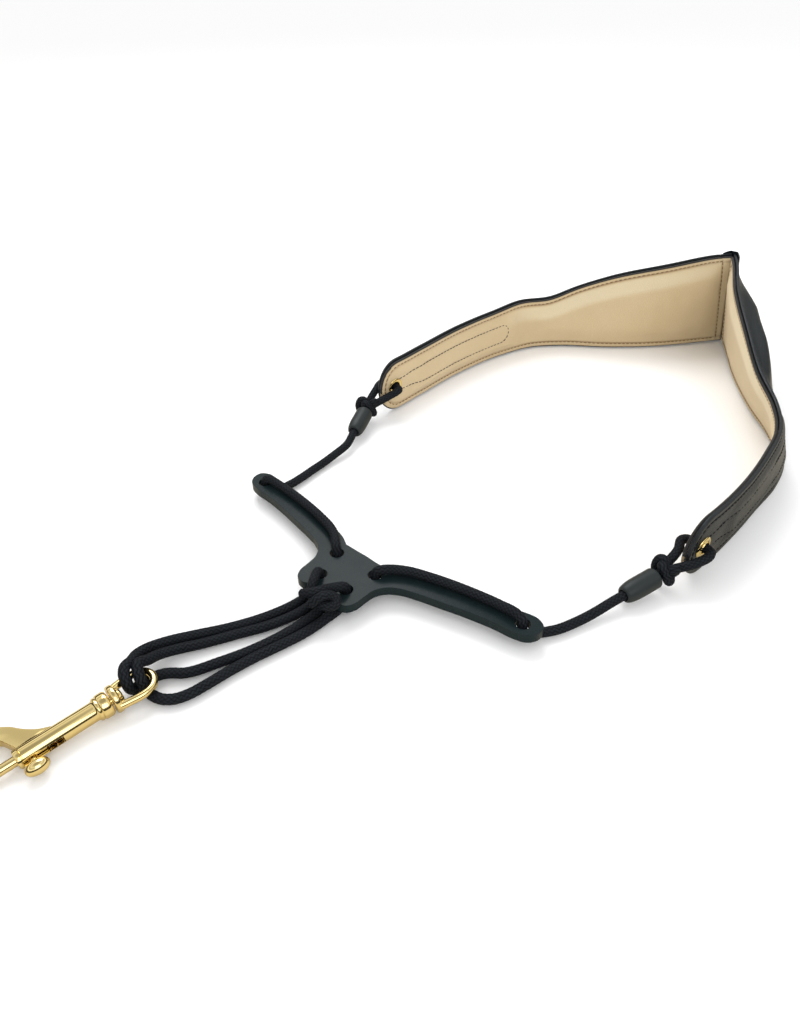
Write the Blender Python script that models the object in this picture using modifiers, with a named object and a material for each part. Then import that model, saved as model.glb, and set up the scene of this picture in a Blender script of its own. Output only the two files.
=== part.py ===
"""Saxophone neck strap: a two-half leather neck pad, a braided cord, a balance yoke and a brass bolt snap.

The strap lies as it is laid on a table: the pad stands on its long edge as a V, and the cords, the
yoke and the snap lie flat. Lengths below are millimetres, and MM turns them into Blender's metres.
+Y runs along the yoke's centre line from the snap to the pad's seam, +X to the yoke's right arm.
"""

import math

import bmesh
import bpy
import numpy as np
from mathutils import Matrix, Vector

MM = 0.001
GAP = 0.3                       # clearance between pieces that touch
ORIGIN = (14.26, 71.54)        # middle of the strap's outline on the table, from the yoke's inner holes

# Neck pad
COVER = 1.4                     # black outer leather
LINING = 1.2                    # tan inner leather
STITCH_MARGIN = 3.0             # flat sewn border round the padding
PUFF_OUT = 8.0                  # how far the padding pushes the cover out
PUFF_IN = 1.7                   # and the lining in
PAD_RISE = 9.0                  # length over which the padding swells from its border
PAD_END = 122.0                 # padding ends this far from the seam
STRIP = (132.0, 190.0)          # inner reinforcing strip, from and to, along the half
STRIP_THICK = 1.0
STRIP_ROOM = 1.0                # how far the strip parts each leather
STRIP_RISES = (0.27, 0.5, 0.73) # its lower edge, middle and upper edge, share of the height
FOAM_FILL = 0.70                # foam's share of the room between the leathers
PAD_COLUMNS = 26
PAD_ROWS = 6
TIP_END = 0.12                  # the leathers' last column stands this far from the rounded tip
TIP_ROUND = 11.0                # length of the strap end's rounding
EYELET_BACK = 8.5               # eyelet centre from the strap's tip
EYELET_HOLE = 2.3
EYELET_BARREL = 2.75
EYELET_FLANGE = 4.0
EDGE_Z = 0.66                   # lower edge above the table

# Stations along each half from the seam to the tip: foot x, y; top edge height; top edge's lean x, y.
LEFT_STATIONS = (
    (29.2, 277.2, 50.0, -4.2, -9.6),
    (20.9, 266.2, 50.0, -2.2, -6.6),
    (1.4, 243.1, 47.0, 0.9, -3.6),
    (-19.7, 224.8, 41.0, 0.8, -1.2),
    (-37.5, 212.6, 33.0, 0.2, -0.2),
    (-49.6, 200.0, 28.6, 0.0, 0.0),
    (-57.4, 180.8, 27.2, 0.0, 0.0),
    (-63.4, 148.0, 26.6, 0.0, 0.0),
    (-64.8, 119.0, 26.2, 0.0, 0.0),
    (-65.6, 101.0, 26.0, 0.0, 0.0),
    (-67.0, 91.4, 26.0, 0.0, 0.0),
)
RIGHT_STATIONS = (
    (29.2, 277.2, 50.0, -4.2, -9.6),
    (37.4, 262.4, 50.0, -6.8, -7.2),
    (51.4, 235.8, 47.0, -10.4, -5.4),
    (69.6, 208.4, 41.0, -12.2, -6.2),
    (84.4, 190.0, 33.0, -12.8, -7.0),
    (94.2, 172.5, 28.6, -9.8, -4.4),
    (97.2, 152.0, 27.2, -5.2, -0.8),
    (96.2, 132.0, 26.6, -2.0, 0.0),
    (95.0, 110.0, 26.2, -0.4, 0.0),
    (92.7, 87.6, 26.0, 0.0, 0.0),
    (90.0, 71.6, 26.0, 0.0, 0.0),
)
COVER_START = 1.2               # cover and lining stop short of the seam's fold line
LINING_START = 4.0
SPINE = 0.9                     # leather spine round the outside of the seam

# Yoke
YOKE_LOW = 4.3
YOKE_THICK = 3.5
YOKE_EDGE = 0.55                # rounding of the plate's edges
YOKE_HOLE = 2.55
YOKE_HOLE_FLARE = 0.6           # countersink of each hole's rims
END_HOLE = (61.1, 13.1)
INNER_HOLE = (9.1, 0.0)
LOWER_HOLE = (6.1, -11.8)
YOKE_HALF_OUTLINE = (           # right half, from the back edge's middle to the front notch
    (0.0, 5.4), (9.6, 5.6), (13.0, 7.7), (20.0, 9.9), (30.0, 11.9), (42.0, 14.2), (53.0, 15.8),
    (59.0, 17.8), (64.2, 18.1), (67.2, 16.2), (67.4, 12.6), (65.2, 9.6), (61.0, 8.2), (54.0, 7.6),
    (44.0, 6.0), (34.0, 3.8), (26.0, 2.0), (20.2, 0.2), (16.2, -2.4), (13.9, -6.0), (13.3, -10.6),
    (13.0, -14.6), (11.4, -17.5), (8.4, -18.4), (4.4, -17.0), (0.0, -16.0),
)

# Cords
CORD = 1.75                     # radius of the braided cord
CORD_Z = 2.2                    # centre line of a cord lying on the table
BEND = 2.4                      # centre line radius where a cord turns into a hole
CORD_STEP = 2.9                 # spacing of a cord's points
NECK_JOIN = (74.6, 35.2, 2.75)  # where the right neck cord's two lengths meet
NECK_JOIN_BELOW = (74.46, 34.82, 2.72)
ARM_ROUTE = ((52.0, 13.4), (44.0, 12.6), (35.0, 11.2), (26.0, 9.2), (18.5, 6.9), (13.6, 4.1))

# Beads: narrow end, flat end
BEAD_LEFT = ((-60.9, 65.4, 4.9), (-66.8, 80.4, 6.9))
BEAD_RIGHT = ((80.0, 49.6, 4.9), (84.7, 62.1, 6.5))
BEAD_LENGTH = 14.5
BEAD_RADIUS = 3.85
BEAD_BORE = 2.1

# Knots: centre, and half sizes along the cord, across it and upright
KNOT_LEFT = (-68.4, 84.4, 7.9)
KNOT_RIGHT = (86.4, 66.5, 7.8)
KNOT_SIZE = (3.2, 5.4, 4.4)
FRONT_KNOT = (0.4, -20.6, 10.9)
FRONT_KNOT_SIZE = (6.4, 3.6, 2.7)

# Snap: stations along its axis from the eye's far end, which lies on the cords
EYE_END = (-15.6, -74.0, 5.9)
SNAP_AXIS = (-0.15, -0.987, -0.058)
EYE_WIRE = 1.25
EYE_HALF = 4.6                  # half width between the eye's arms, at their centre lines
EYE_BASE = (12.6, 14.7)         # base disc, from and to
EYE_FOOT = 3.7                  # the same at the base disc
EYE_DISC = 4.5
RIVET_HEAD = (11.3, 12.35)
RIVET_RADIUS = 1.25
COLLAR = (15.2, 18.8)
COLLAR_RADIUS = 4.0
BARREL_END = 43.2
BARREL_RADIUS = 3.0
BORE = 2.1
BORE_START = 20.4
SLOT = (30.2, 42.0)
SLOT_WIDTH = 2.5
ROD_RADIUS = 1.55
PISTON_RADIUS = 1.8
PISTON = (35.0, 41.0)
ROD_TIP = 58.6
KNOB_AT = 39.4
KNOB_OUT = 6.0
KNOB_RADIUS = 2.2
JAW_THICK = 3.6
SPRING_COIL = 1.55
SPRING_WIRE = 0.22
SPRING_TURNS = 5


def new_material(name, colour, roughness, metallic=0.0):
    """A Principled material of one colour."""
    material = bpy.data.materials.new(name)
    material.use_nodes = True
    shader = material.node_tree.nodes["Principled BSDF"]
    shader.inputs["Base Color"].default_value = (*colour, 1.0)
    shader.inputs["Roughness"].default_value = roughness
    shader.inputs["Metallic"].default_value = metallic
    material.diffuse_color = (*colour, 1.0)
    return material


def new_collection(name):
    """A collection linked to the scene."""
    found = bpy.data.collections.new(name)
    bpy.context.scene.collection.children.link(found)
    return found


def new_object(name, data, material=None, parent=None, collection=None):
    """An object in the strap's collection, under the frame empty unless told otherwise."""
    made = bpy.data.objects.new(name, data)
    (collection or PARTS).objects.link(made)
    made.parent = parent or FRAME
    if material and data:
        data.materials.append(material)
    return made


def new_empty(name, matrix, parent=None):
    """An empty on a joint's axis."""
    made = new_object(name, None, parent=parent)
    made.matrix_basis = matrix
    made.empty_display_size = 0.01
    return made


def smooth_shade(mesh, angle=35.0):
    mesh.shade_smooth()
    mesh.set_sharp_from_angle(angle=math.radians(angle))


def hermite(knots, values, at):
    """A smooth curve through the values at the knots, read at the given distances."""
    knots = np.asarray(knots, float)
    values = np.asarray(values, float)
    at = np.clip(np.asarray(at, float), knots[0], knots[-1])
    slopes = np.gradient(values, knots, axis=0)
    i = np.clip(np.searchsorted(knots, at, side="right") - 1, 0, len(knots) - 2)
    span = (knots[i + 1] - knots[i])[:, None]
    u = (at[:, None] - knots[i][:, None]) / span
    stay = 2 * u**3 - 3 * u**2 + 1
    leave = u**3 - 2 * u**2 + u
    arrive = u**3 - u**2
    return (values[i] * stay + values[i + 1] * (1 - stay)
            + span * (slopes[i] * leave + slopes[i + 1] * arrive))


def distances(points):
    """Distance along a chain of points to each of them."""
    steps = np.linalg.norm(np.diff(np.asarray(points, float), axis=0), axis=1)
    return np.concatenate([[0.0], np.cumsum(steps)])


def swell(distance, rise):
    """0 at a border, 1 past the rise, with level ends."""
    u = min(max(distance / rise, 0.0), 1.0)
    return u * u * (3 - 2 * u)


class PadHalf:
    """One half of the neck pad as a surface: along (mm from the seam), up (0 foot to 1 top), out (mm)."""

    def __init__(self, side, stations):
        self.side = side
        self.stations = np.asarray(stations, float)
        self.knots = distances(self.stations[:, :2])
        self.length = self.knots[-1]
        shares = [i / PAD_COLUMNS for i in range(1, PAD_COLUMNS)]
        self.columns = [self.length * (share - 0.036 * math.sin(2 * math.pi * share)) for share in shares]

    def station(self, along):
        return hermite(self.knots, self.stations, [along])[0]

    def height(self, along):
        x, y, top, lean_x, lean_y = self.station(along)
        return math.hypot(top - EDGE_Z, math.hypot(lean_x, lean_y))

    def middle(self, along, up):
        x, y, top, lean_x, lean_y = self.station(along)
        return Vector((x + lean_x * up, y + lean_y * up, EDGE_Z + (top - EDGE_Z) * up))

    def outward(self, along, up):
        ahead = self.middle(along + 1, up) - self.middle(along - 1, up)
        rise = self.middle(along, 1) - self.middle(along, 0)
        return ahead.cross(rise).normalized() * self.side

    def point(self, along, up, out):
        """Rounds the strap's tip off by drawing the upright direction in."""
        into_tip = max(along - (self.length - TIP_ROUND), 0.0) / TIP_ROUND
        narrow = math.sqrt(max(1 - into_tip**2, 0.0))
        up = 0.5 + (up - 0.5) * narrow
        return self.middle(along, up) + self.outward(along, up) * out

    def padding(self, along, up):
        """0 at the sewn border to 1 over the padding."""
        height = self.height(along)
        ends = swell(along - STITCH_MARGIN, 2.8 * PAD_RISE) * swell(PAD_END - along, 4.6 * PAD_RISE)
        foot = swell(up * height - STITCH_MARGIN, PAD_RISE)
        top = swell((1 - up) * height - STITCH_MARGIN, PAD_RISE)
        return ends * foot * top

    def strip_room(self, along, up):
        """0 to 1 where the reinforcing strip lies between the leathers."""
        height = self.height(along)
        ends = swell(along - STRIP[0] + 12, 8) * swell(STRIP[1] + 12 - along, 8)
        across = swell(up * height - STITCH_MARGIN, 3) * swell((1 - up) * height - STITCH_MARGIN, 3)
        return ends * across

    def cover_inside(self, along, up):
        return (GAP / 2 + PUFF_OUT * self.padding(along, up)
                + STRIP_ROOM * self.strip_room(along, up))

    def lining_outside(self, along, up):
        return -(GAP / 2 + PUFF_IN * self.padding(along, up)
                 + STRIP_ROOM * self.strip_room(along, up))


def grid_object(name, material, columns, rows):
    """A unit grid in the strap's collection."""
    bpy.ops.mesh.primitive_grid_add(x_subdivisions=columns, y_subdivisions=rows, size=1.0)
    made = bpy.context.object
    made.name = name
    for old in made.users_collection:
        old.objects.unlink(made)
    PARTS.objects.link(made)
    made.data.name = name
    made.data.materials.append(material)
    made.parent = FRAME
    return made


def sheet_object(name, material, half, places, rises, out):
    """An open grid bent onto a pad half, its faces looking outwards, at out(along, up)."""
    made = grid_object(name, material, len(places) - 1, len(rises) - 1)
    for vertex in made.data.vertices:
        along = places[round((vertex.co.x + 0.5) * (len(places) - 1))]
        across = vertex.co.y + 0.5 if half.side > 0 else 0.5 - vertex.co.y
        up = rises[round(across * (len(rises) - 1))]
        vertex.co = half.point(along, up, out(along, up)) * MM
    smooth_shade(made.data, 50)
    return made


def slab_object(name, material, half, places, rises, inner, outer):
    """A closed pad between two surfaces of a pad half, inner(along, up) and outer(along, up)."""
    mesh = bpy.data.meshes.new(name)
    work = bmesh.new()
    layers = []
    for out in (inner, outer):
        layers.append([[work.verts.new(half.point(along, up, out(along, up)) * MM) for up in rises]
                       for along in places])
    for layer in layers:
        for column, following in zip(layer[:-1], layer[1:]):
            for i in range(len(rises) - 1):
                work.faces.new((column[i], following[i], following[i + 1], column[i + 1]))
    low, high = [[column[0] for column in layer] + layer[-1][1:] + [column[-1] for column in layer[-2::-1]]
                 + layer[0][-2:0:-1] for layer in layers]
    for i in range(len(low)):
        after = (i + 1) % len(low)
        work.faces.new((low[i], low[after], high[after], high[i]))
    bmesh.ops.recalc_face_normals(work, faces=work.faces)
    work.to_mesh(mesh)
    work.free()
    smooth_shade(mesh, 50)
    return new_object(name, mesh, material)


def solidify(thing, thickness, offset):
    wall = thing.modifiers.new("thickness", "SOLIDIFY")
    wall.thickness = thickness * MM
    wall.offset = offset
    wall.use_even_offset = True
    return wall


def cut(thing, cutter):
    """Takes a cutter's volume out of a solid."""
    cutter.hide_render = True
    cutter.display_type = "WIRE"
    hole = thing.modifiers.new("cut", "BOOLEAN")
    hole.operation = "DIFFERENCE"
    hole.object = cutter
    hole.solver = "EXACT"


def turned(name, profile, material, parent, segments=24, ring=False, collection=None):
    """A profile of (radius, height) pairs turned about the parent's Z axis; a ring's profile is closed."""
    mesh = bpy.data.meshes.new(name)
    corners = [(radius * MM, 0.0, height * MM) for radius, height in profile]
    edges = [(i, i + 1) for i in range(len(corners) - 1)]
    if ring:
        edges.append((len(corners) - 1, 0))
    mesh.from_pydata(corners, edges, [])
    made = new_object(name, mesh, material, parent, collection)
    screw = made.modifiers.new("turn", "SCREW")
    screw.axis = "Z"
    screw.steps = segments
    screw.render_steps = segments
    screw.use_merge_vertices = True
    screw.merge_threshold = 0.00001
    screw.use_smooth_shade = True
    return made


def rounded(points, count):
    """Points along a smooth curve through the given ones."""
    knots = distances(points)
    return hermite(knots, points, np.linspace(0, knots[-1], count))


def tube(name, line, radius, material, parent=None, collection=None, resolution=2):
    """A round wire along a chain of points, with filled ends."""
    data = bpy.data.curves.new(name, "CURVE")
    data.dimensions = "3D"
    data.bevel_depth = radius * MM
    data.bevel_resolution = resolution
    data.use_fill_caps = True
    spline = data.splines.new("POLY")
    spline.points.add(len(line) - 1)
    for point, place in zip(spline.points, line):
        point.co = (*(Vector(place) * MM), 1.0)
    return new_object(name, data, material, parent, collection)


def cord(name, route, material, parent=None):
    """A braided cord's plain tube along a smooth curve through its route."""
    knots = distances(route)
    at = [0.0]
    for start, end in zip(knots[:-1], knots[1:]):
        steps = max(1, round((end - start) / CORD_STEP))
        at += [start + (end - start) * (i + 1) / steps for i in range(steps)]
    return tube(name, hermite(knots, route, at), CORD, material, parent)


def to_mesh(thing):
    """The evaluated object as a mesh object with welded caps, in the same place."""
    bpy.context.view_layer.update()
    evaluated = thing.evaluated_get(bpy.context.evaluated_depsgraph_get())
    mesh = bpy.data.meshes.new_from_object(evaluated)
    work = bmesh.new()
    work.from_mesh(mesh)
    bmesh.ops.remove_doubles(work, verts=work.verts, dist=0.00001)
    work.to_mesh(mesh)
    work.free()
    name = thing.name
    parent = thing.parent
    collection = thing.users_collection[0]
    local = thing.matrix_basis.copy()
    bpy.data.objects.remove(thing)
    mesh.name = name
    made = bpy.data.objects.new(name, mesh)
    collection.objects.link(made)
    made.parent = parent
    made.matrix_basis = local
    return made


def flat_outline(name, outline, thickness, edge, parent, material=None, collection=None, count=0):
    """A filled outline of a given thickness with rounded edges, as a mesh, centred on the local plane."""
    data = bpy.data.curves.new(name, "CURVE")
    data.dimensions = "2D"
    data.fill_mode = "BOTH"
    data.extrude = (thickness / 2 - edge) * MM
    data.bevel_depth = edge * MM
    data.bevel_resolution = 0
    data.offset = -edge * MM
    spline = data.splines.new("POLY")
    closed = list(outline) + [outline[0]]
    line = rounded(closed, count)[:-1] if count else outline
    spline.points.add(len(line) - 1)
    for point, place in zip(spline.points, line):
        point.co = (place[0] * MM, place[1] * MM, 0.0, 1.0)
    spline.use_cyclic_u = True
    made = to_mesh(new_object(name, data, None, parent, collection))
    made.data.materials.clear()
    if material:
        made.data.materials.append(material)
    return made


def join_solid(thing, other):
    """Adds another solid to this one."""
    other.hide_render = True
    other.display_type = "WIRE"
    add = thing.modifiers.new("join", "BOOLEAN")
    add.operation = "UNION"
    add.object = other
    add.solver = "EXACT"


def down_hole(hole, heading, inside):
    """Route from inside a yoke hole down and out under the plate, along a level heading."""
    x, y = hole
    dx, dy = Vector(heading).normalized()
    part = BEND * (1 - math.cos(math.pi / 4))
    return [
        (x, y, inside),
        (x, y, CORD_Z + BEND),
        (x + dx * part, y + dy * part, CORD_Z + part),
        (x + dx * BEND, y + dy * BEND, CORD_Z),
    ]


def up_hole(hole, heading, inside, top):
    """Route from inside a yoke hole up and out over the plate, along a level heading."""
    x, y = hole
    dx, dy = Vector(heading).normalized()
    part = BEND * (1 - math.cos(math.pi / 4))
    return [
        (x, y, inside),
        (x, y, top - BEND),
        (x + dx * part, y + dy * part, top - part),
        (x + dx * BEND, y + dy * BEND, top),
    ]


def facing(place, direction):
    """A matrix at a place whose Z axis points along a direction."""
    turn = Vector(direction).to_track_quat("Z", "Y")
    return Matrix.Translation(Vector(place) * MM) @ turn.to_matrix().to_4x4()


def unit_ball(name, place, along, size, material, parent=None):
    """A lump with half sizes along a direction, across it and upright."""
    mesh = bpy.data.meshes.new(name)
    work = bmesh.new()
    bmesh.ops.create_uvsphere(work, u_segments=14, v_segments=9, radius=MM)
    bmesh.ops.scale(work, vec=size, verts=work.verts)
    work.to_mesh(mesh)
    work.free()
    made = new_object(name, mesh, material, parent)
    heading = math.atan2(along[1], along[0])
    made.matrix_basis = Matrix.Translation(Vector(place) * MM) @ Matrix.Rotation(heading, 4, "Z")
    mesh.shade_smooth()
    return made


def pad_half(side, half):
    """Cover, lining, foam, reinforcing strip and eyelet of one half."""
    rises = [i / PAD_ROWS for i in range(PAD_ROWS + 1)]
    places = half.columns + [half.length - TIP_END]
    cover = sheet_object(side + "_cover", BLACK_LEATHER, half, [COVER_START] + places, rises,
                         half.cover_inside)
    solidify(cover, COVER, 1.0)
    lining = sheet_object(side + "_lining", TAN_LEATHER, half, [LINING_START] + places, rises,
                          half.lining_outside)
    solidify(lining, LINING, -1.0)

    padded = [place for place in half.columns if half.padding(place, 0.5) > 0.35]
    slab_object(side + "_foam", FOAM, half, padded, rises[1:-1],
                lambda along, up: half.lining_outside(along, up) * FOAM_FILL,
                lambda along, up: half.cover_inside(along, up) * FOAM_FILL)

    steps = [STRIP[0] + (STRIP[1] - STRIP[0]) * i / 12 for i in range(13)]
    strip = sheet_object(side + "_strip", WEBBING, half, steps, STRIP_RISES,
                         lambda along, up: -STRIP_THICK / 2)
    solidify(strip, STRIP_THICK, 1.0)

    at = half.length - EYELET_BACK
    centre = half.point(at, 0.5, 0.0)
    axis = half.outward(at, 0.5)
    seat = new_empty(side + "_eyelet_axis", facing(centre, axis))
    drill = turned(side + "_eyelet_drill", [(0, 6), (EYELET_BARREL + GAP, 6),
                                            (EYELET_BARREL + GAP, -6), (0, -6)],
                   None, seat, 20, collection=CUTTERS)
    cut(cover, drill)
    cut(lining, drill)
    outer_face = half.cover_inside(at, 0.5) + COVER + 1.7 * GAP
    inner_face = half.lining_outside(at, 0.5) - LINING - 1.7 * GAP
    barrel = turned(side + "_eyelet", [
        (EYELET_HOLE, outer_face + 0.9), (EYELET_BARREL, outer_face + 0.9),
        (EYELET_BARREL, inner_face), (EYELET_FLANGE, inner_face),
        (EYELET_FLANGE - 0.4, inner_face - 0.55), (EYELET_HOLE + 0.3, inner_face - 0.55),
        (EYELET_HOLE, inner_face - 0.2)], BRASS, seat, 20, ring=True)
    washer = turned(side + "_eyelet_washer", [
        (EYELET_BARREL + GAP, outer_face + 0.6), (EYELET_FLANGE - 0.2, outer_face + 0.5),
        (EYELET_FLANGE + 0.2, outer_face), (EYELET_BARREL + GAP, outer_face)],
        BRASS, seat, 20, ring=True)
    return barrel, washer


def seam_spine(left, right):
    """A leather strip folded round the outside of the seam."""
    made = grid_object("seam_spine", BLACK_LEATHER, 3, PAD_ROWS)
    for vertex in made.data.vertices:
        half = left if vertex.co.x > 0 else right
        along = half.columns[0] if abs(vertex.co.x) > 0.3 else GAP
        up = vertex.co.y + 0.5
        vertex.co = half.point(along, up, half.cover_inside(along, up) + COVER + 2 * GAP) * MM
    smooth_shade(made.data, 60)
    wall = solidify(made, SPINE, 1.0)
    wall.use_even_offset = False


def eyelet_loop(name, half, knot, parent):
    """The cord's loop through the eyelet and round the strap's tip, both ends on the knot."""
    at = half.length - EYELET_BACK
    centre = half.point(at, 0.5, 0.0)
    out = half.outward(at, 0.5)
    ahead = half.middle(at + 1, 0.5) - half.middle(at - 1, 0.5)
    ahead.normalize()
    knot = Vector(knot)
    part = BEND * (1 - math.cos(math.pi / 4))
    legs = []
    for sign, reach in ((1, 3.3), (-1, 3.1)):
        turn = centre + out * sign * reach
        legs.append([
            turn,
            turn + out * sign * (BEND - part) + ahead * part,
            turn + out * sign * BEND + ahead * BEND,
            centre + out * sign * 5.0 + ahead * 7.5 + Vector((0, 0, -1.2)),
            knot + out * sign * 3.6 - (knot - centre).normalized() * 4.6 + Vector((0, 0, 0.4)),
        ])
    return cord(name, [tuple(p) for p in reversed(legs[0])] + [tuple(p) for p in legs[1]],
                CORD_CLOTH, parent)


def bead(name, ends, parent):
    """A bullet-shaped bead threaded on the cord, its flat end against the knot."""
    narrow = Vector(ends[0])
    flat = Vector(ends[1])
    seat = new_empty(name + "_axis", facing(flat, narrow - flat), parent)
    profile = [(BEAD_BORE, BEAD_LENGTH)]
    for step in range(6):
        turn = math.radians(90 - 18 * step)
        radius = BEAD_BORE + 0.4 + (BEAD_RADIUS - BEAD_BORE - 0.4) * math.cos(turn)
        profile.append((radius, BEAD_LENGTH - 6.5 + 6.5 * math.sin(turn)))
    profile += [(BEAD_RADIUS, 0.5), (BEAD_RADIUS - 0.5, 0.0), (BEAD_BORE, 0.0)]
    turned(name, profile, BEAD_PLASTIC, seat, 20, ring=True)


def yoke_plate():
    """The flat yoke with six flared cord holes."""
    right = list(YOKE_HALF_OUTLINE)
    left = [(-x, y) for x, y in reversed(right[1:-1])]
    seat = new_empty("yoke_axis", Matrix.Translation((0, 0, (YOKE_LOW + YOKE_THICK / 2) * MM)))
    outline = [(x, y) for x, y in reversed(right + left)]
    plate = flat_outline("yoke_plate", outline, YOKE_THICK, YOKE_EDGE, seat, YOKE_METAL, count=76)
    smooth_shade(plate.data, 30)
    half = YOKE_THICK / 2
    flare = YOKE_HOLE + YOKE_HOLE_FLARE
    profile = [(0, half + 1), (flare + 1, half + 1), (flare, half), (YOKE_HOLE, half - YOKE_HOLE_FLARE),
               (YOKE_HOLE, -half + YOKE_HOLE_FLARE), (flare, -half), (flare + 1, -half - 1), (0, -half - 1)]
    number = 0
    for x, y in (END_HOLE, INNER_HOLE, LOWER_HOLE):
        for side in (-1, 1):
            number += 1
            drill = turned("yoke_drill_%d" % number, profile, None, seat, 18, collection=CUTTERS)
            drill.location = (side * x * MM, y * MM, 0)
            cut(plate, drill)
    return plate


def snap_frame():
    """Axes of the snap: Z to its tip, X to its thumb knob's side."""
    ahead = Vector(SNAP_AXIS).normalized()
    side = Vector((-ahead.y, ahead.x, 0)).normalized()
    upright = ahead.cross(side)
    turn = Matrix((side, upright, ahead)).transposed().to_4x4()
    return Matrix.Translation(Vector(EYE_END) * MM) @ turn


def snap_point(along, side, upright):
    """A point in the snap's axes, in the strap's frame, in millimetres."""
    ahead = Vector(SNAP_AXIS).normalized()
    across = Vector((-ahead.y, ahead.x, 0)).normalized()
    return tuple(Vector(EYE_END) + ahead * along + across * side + ahead.cross(across) * upright)


def swivel_eye(seat):
    """The oval eye: a bent wire joined to a drilled base disc."""
    foot = [(EYE_FOOT, 0, EYE_BASE[0] + 0.8), (EYE_FOOT + 0.4, 0, EYE_BASE[0] - 1.6)]
    arm = list(foot)
    for step in range(9):
        turn = math.radians(22.5 * step)
        arm.append((EYE_HALF * math.cos(turn), 0, EYE_WIRE + EYE_HALF - EYE_HALF * math.sin(turn)))
    arm += [(-x, y, z) for x, y, z in reversed(foot)]
    wire = to_mesh(tube("swivel_eye_wire", arm, EYE_WIRE, None, seat, CUTTERS))
    disc = turned("swivel_eye", [
        (RIVET_RADIUS + GAP, EYE_BASE[1]), (EYE_DISC - 0.5, EYE_BASE[1]), (EYE_DISC, EYE_BASE[1] - 0.5),
        (EYE_DISC, EYE_BASE[0] + 0.5), (EYE_DISC - 0.5, EYE_BASE[0]), (RIVET_RADIUS + GAP, EYE_BASE[0])],
        BRASS, seat, 24, ring=True)
    join_solid(disc, wire)


def snap_body(seat):
    """Collar, slotted hollow barrel and hook jaw in one casting."""
    body = turned("snap_body", [
        (0, BARREL_END), (BARREL_RADIUS - 0.3, BARREL_END), (BARREL_RADIUS, BARREL_END - 0.4),
        (BARREL_RADIUS, COLLAR[1] + 0.6), (COLLAR_RADIUS - 0.6, COLLAR[1]), (COLLAR_RADIUS, COLLAR[1] - 0.7),
        (COLLAR_RADIUS - 0.35, COLLAR[1] - 1.3), (COLLAR_RADIUS, COLLAR[1] - 1.9),
        (COLLAR_RADIUS, COLLAR[0] + 0.5), (COLLAR_RADIUS - 0.5, COLLAR[0]), (0, COLLAR[0])],
        BRASS, seat, 24)
    jaw_seat = new_empty("jaw_plane", Matrix.Rotation(math.radians(90), 4, "X"), seat)
    outline = ((0.0, 29.0), (-2.4, 31.0), (-4.4, 34.4), (-7.6, 37.8), (-11.2, 40.6), (-14.0, 44.4),
               (-15.0, 49.4), (-13.8, 55.0), (-10.0, 59.8), (-5.0, 62.4), (-0.4, 62.8), (1.9, 61.2),
               (0.4, 59.0), (-2.8, 58.4), (-6.6, 56.2), (-9.8, 52.4), (-10.7, 48.4), (-9.0, 44.8),
               (-6.0, 43.2), (-3.2, 42.0), (0.0, 40.6))
    jaw = flat_outline("snap_jaw", outline, JAW_THICK, 0.6, jaw_seat, None, CUTTERS, count=46)
    join_solid(body, jaw)
    bore = turned("snap_bore", [(0, BARREL_END + 2), (BORE, BARREL_END + 2), (BORE, BORE_START), (0, BORE_START)],
                  None, seat, 20, collection=CUTTERS)
    cut(body, bore)
    mesh = bpy.data.meshes.new("snap_slot")
    work = bmesh.new()
    bmesh.ops.create_cube(work, size=1.0)
    size = (BARREL_RADIUS + 2, SLOT_WIDTH, SLOT[1] - SLOT[0])
    bmesh.ops.scale(work, vec=[part * MM for part in size], verts=work.verts)
    place = ((BARREL_RADIUS + 2) / 2 * MM, 0, (SLOT[0] + SLOT[1]) / 2 * MM)
    bmesh.ops.translate(work, vec=place, verts=work.verts)
    work.to_mesh(mesh)
    work.free()
    slot = new_object("snap_slot", mesh, None, seat, CUTTERS)
    cut(body, slot)
    socket = turned("rivet_socket", [(0, COLLAR[0] + 2.4), (RIVET_RADIUS + GAP, COLLAR[0] + 2.4),
                                     (RIVET_RADIUS + GAP, COLLAR[0] - 1), (0, COLLAR[0] - 1)],
                    None, seat, 16, collection=CUTTERS)
    cut(body, socket)


def snap_rivet(seat):
    """The rivet that holds the eye to the barrel and lets it swivel."""
    turned("swivel_rivet", [
        (0, COLLAR[0] + 2.1), (RIVET_RADIUS, COLLAR[0] + 2.1), (RIVET_RADIUS, RIVET_HEAD[1]),
        (RIVET_RADIUS + 1.1, RIVET_HEAD[1]), (RIVET_RADIUS + 0.9, RIVET_HEAD[0] + 0.3),
        (RIVET_RADIUS + 0.3, RIVET_HEAD[0]), (0, RIVET_HEAD[0])], BRASS, seat, 16)


def bolt_and_knob(seat):
    """The sliding bolt, and the thumb knob that stands out through the slot."""
    turned("bolt", [
        (0, ROD_TIP), (ROD_RADIUS - 0.5, ROD_TIP), (ROD_RADIUS, ROD_TIP - 0.5), (ROD_RADIUS, PISTON[1]),
        (PISTON_RADIUS, PISTON[1] - 0.3), (PISTON_RADIUS, PISTON[0] + 0.3), (ROD_RADIUS, PISTON[0]),
        (0, PISTON[0])], BRASS, seat, 18)
    stem = PISTON_RADIUS + GAP
    knob_seat = new_empty("knob_axis", Matrix.Translation((0, 0, KNOB_AT * MM))
                          @ Matrix.Rotation(math.radians(90), 4, "Y"), seat)
    profile = [(0, KNOB_OUT + KNOB_RADIUS)]
    for step in range(1, 7):
        turn = math.radians(90 - 22 * step)
        profile.append((KNOB_RADIUS * math.cos(turn), KNOB_OUT + KNOB_RADIUS * math.sin(turn)))
    profile += [(0.9, BARREL_RADIUS + 0.6), (0.9, stem), (0, stem)]
    turned("thumb_knob", profile, BRASS, knob_seat, 16)


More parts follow.
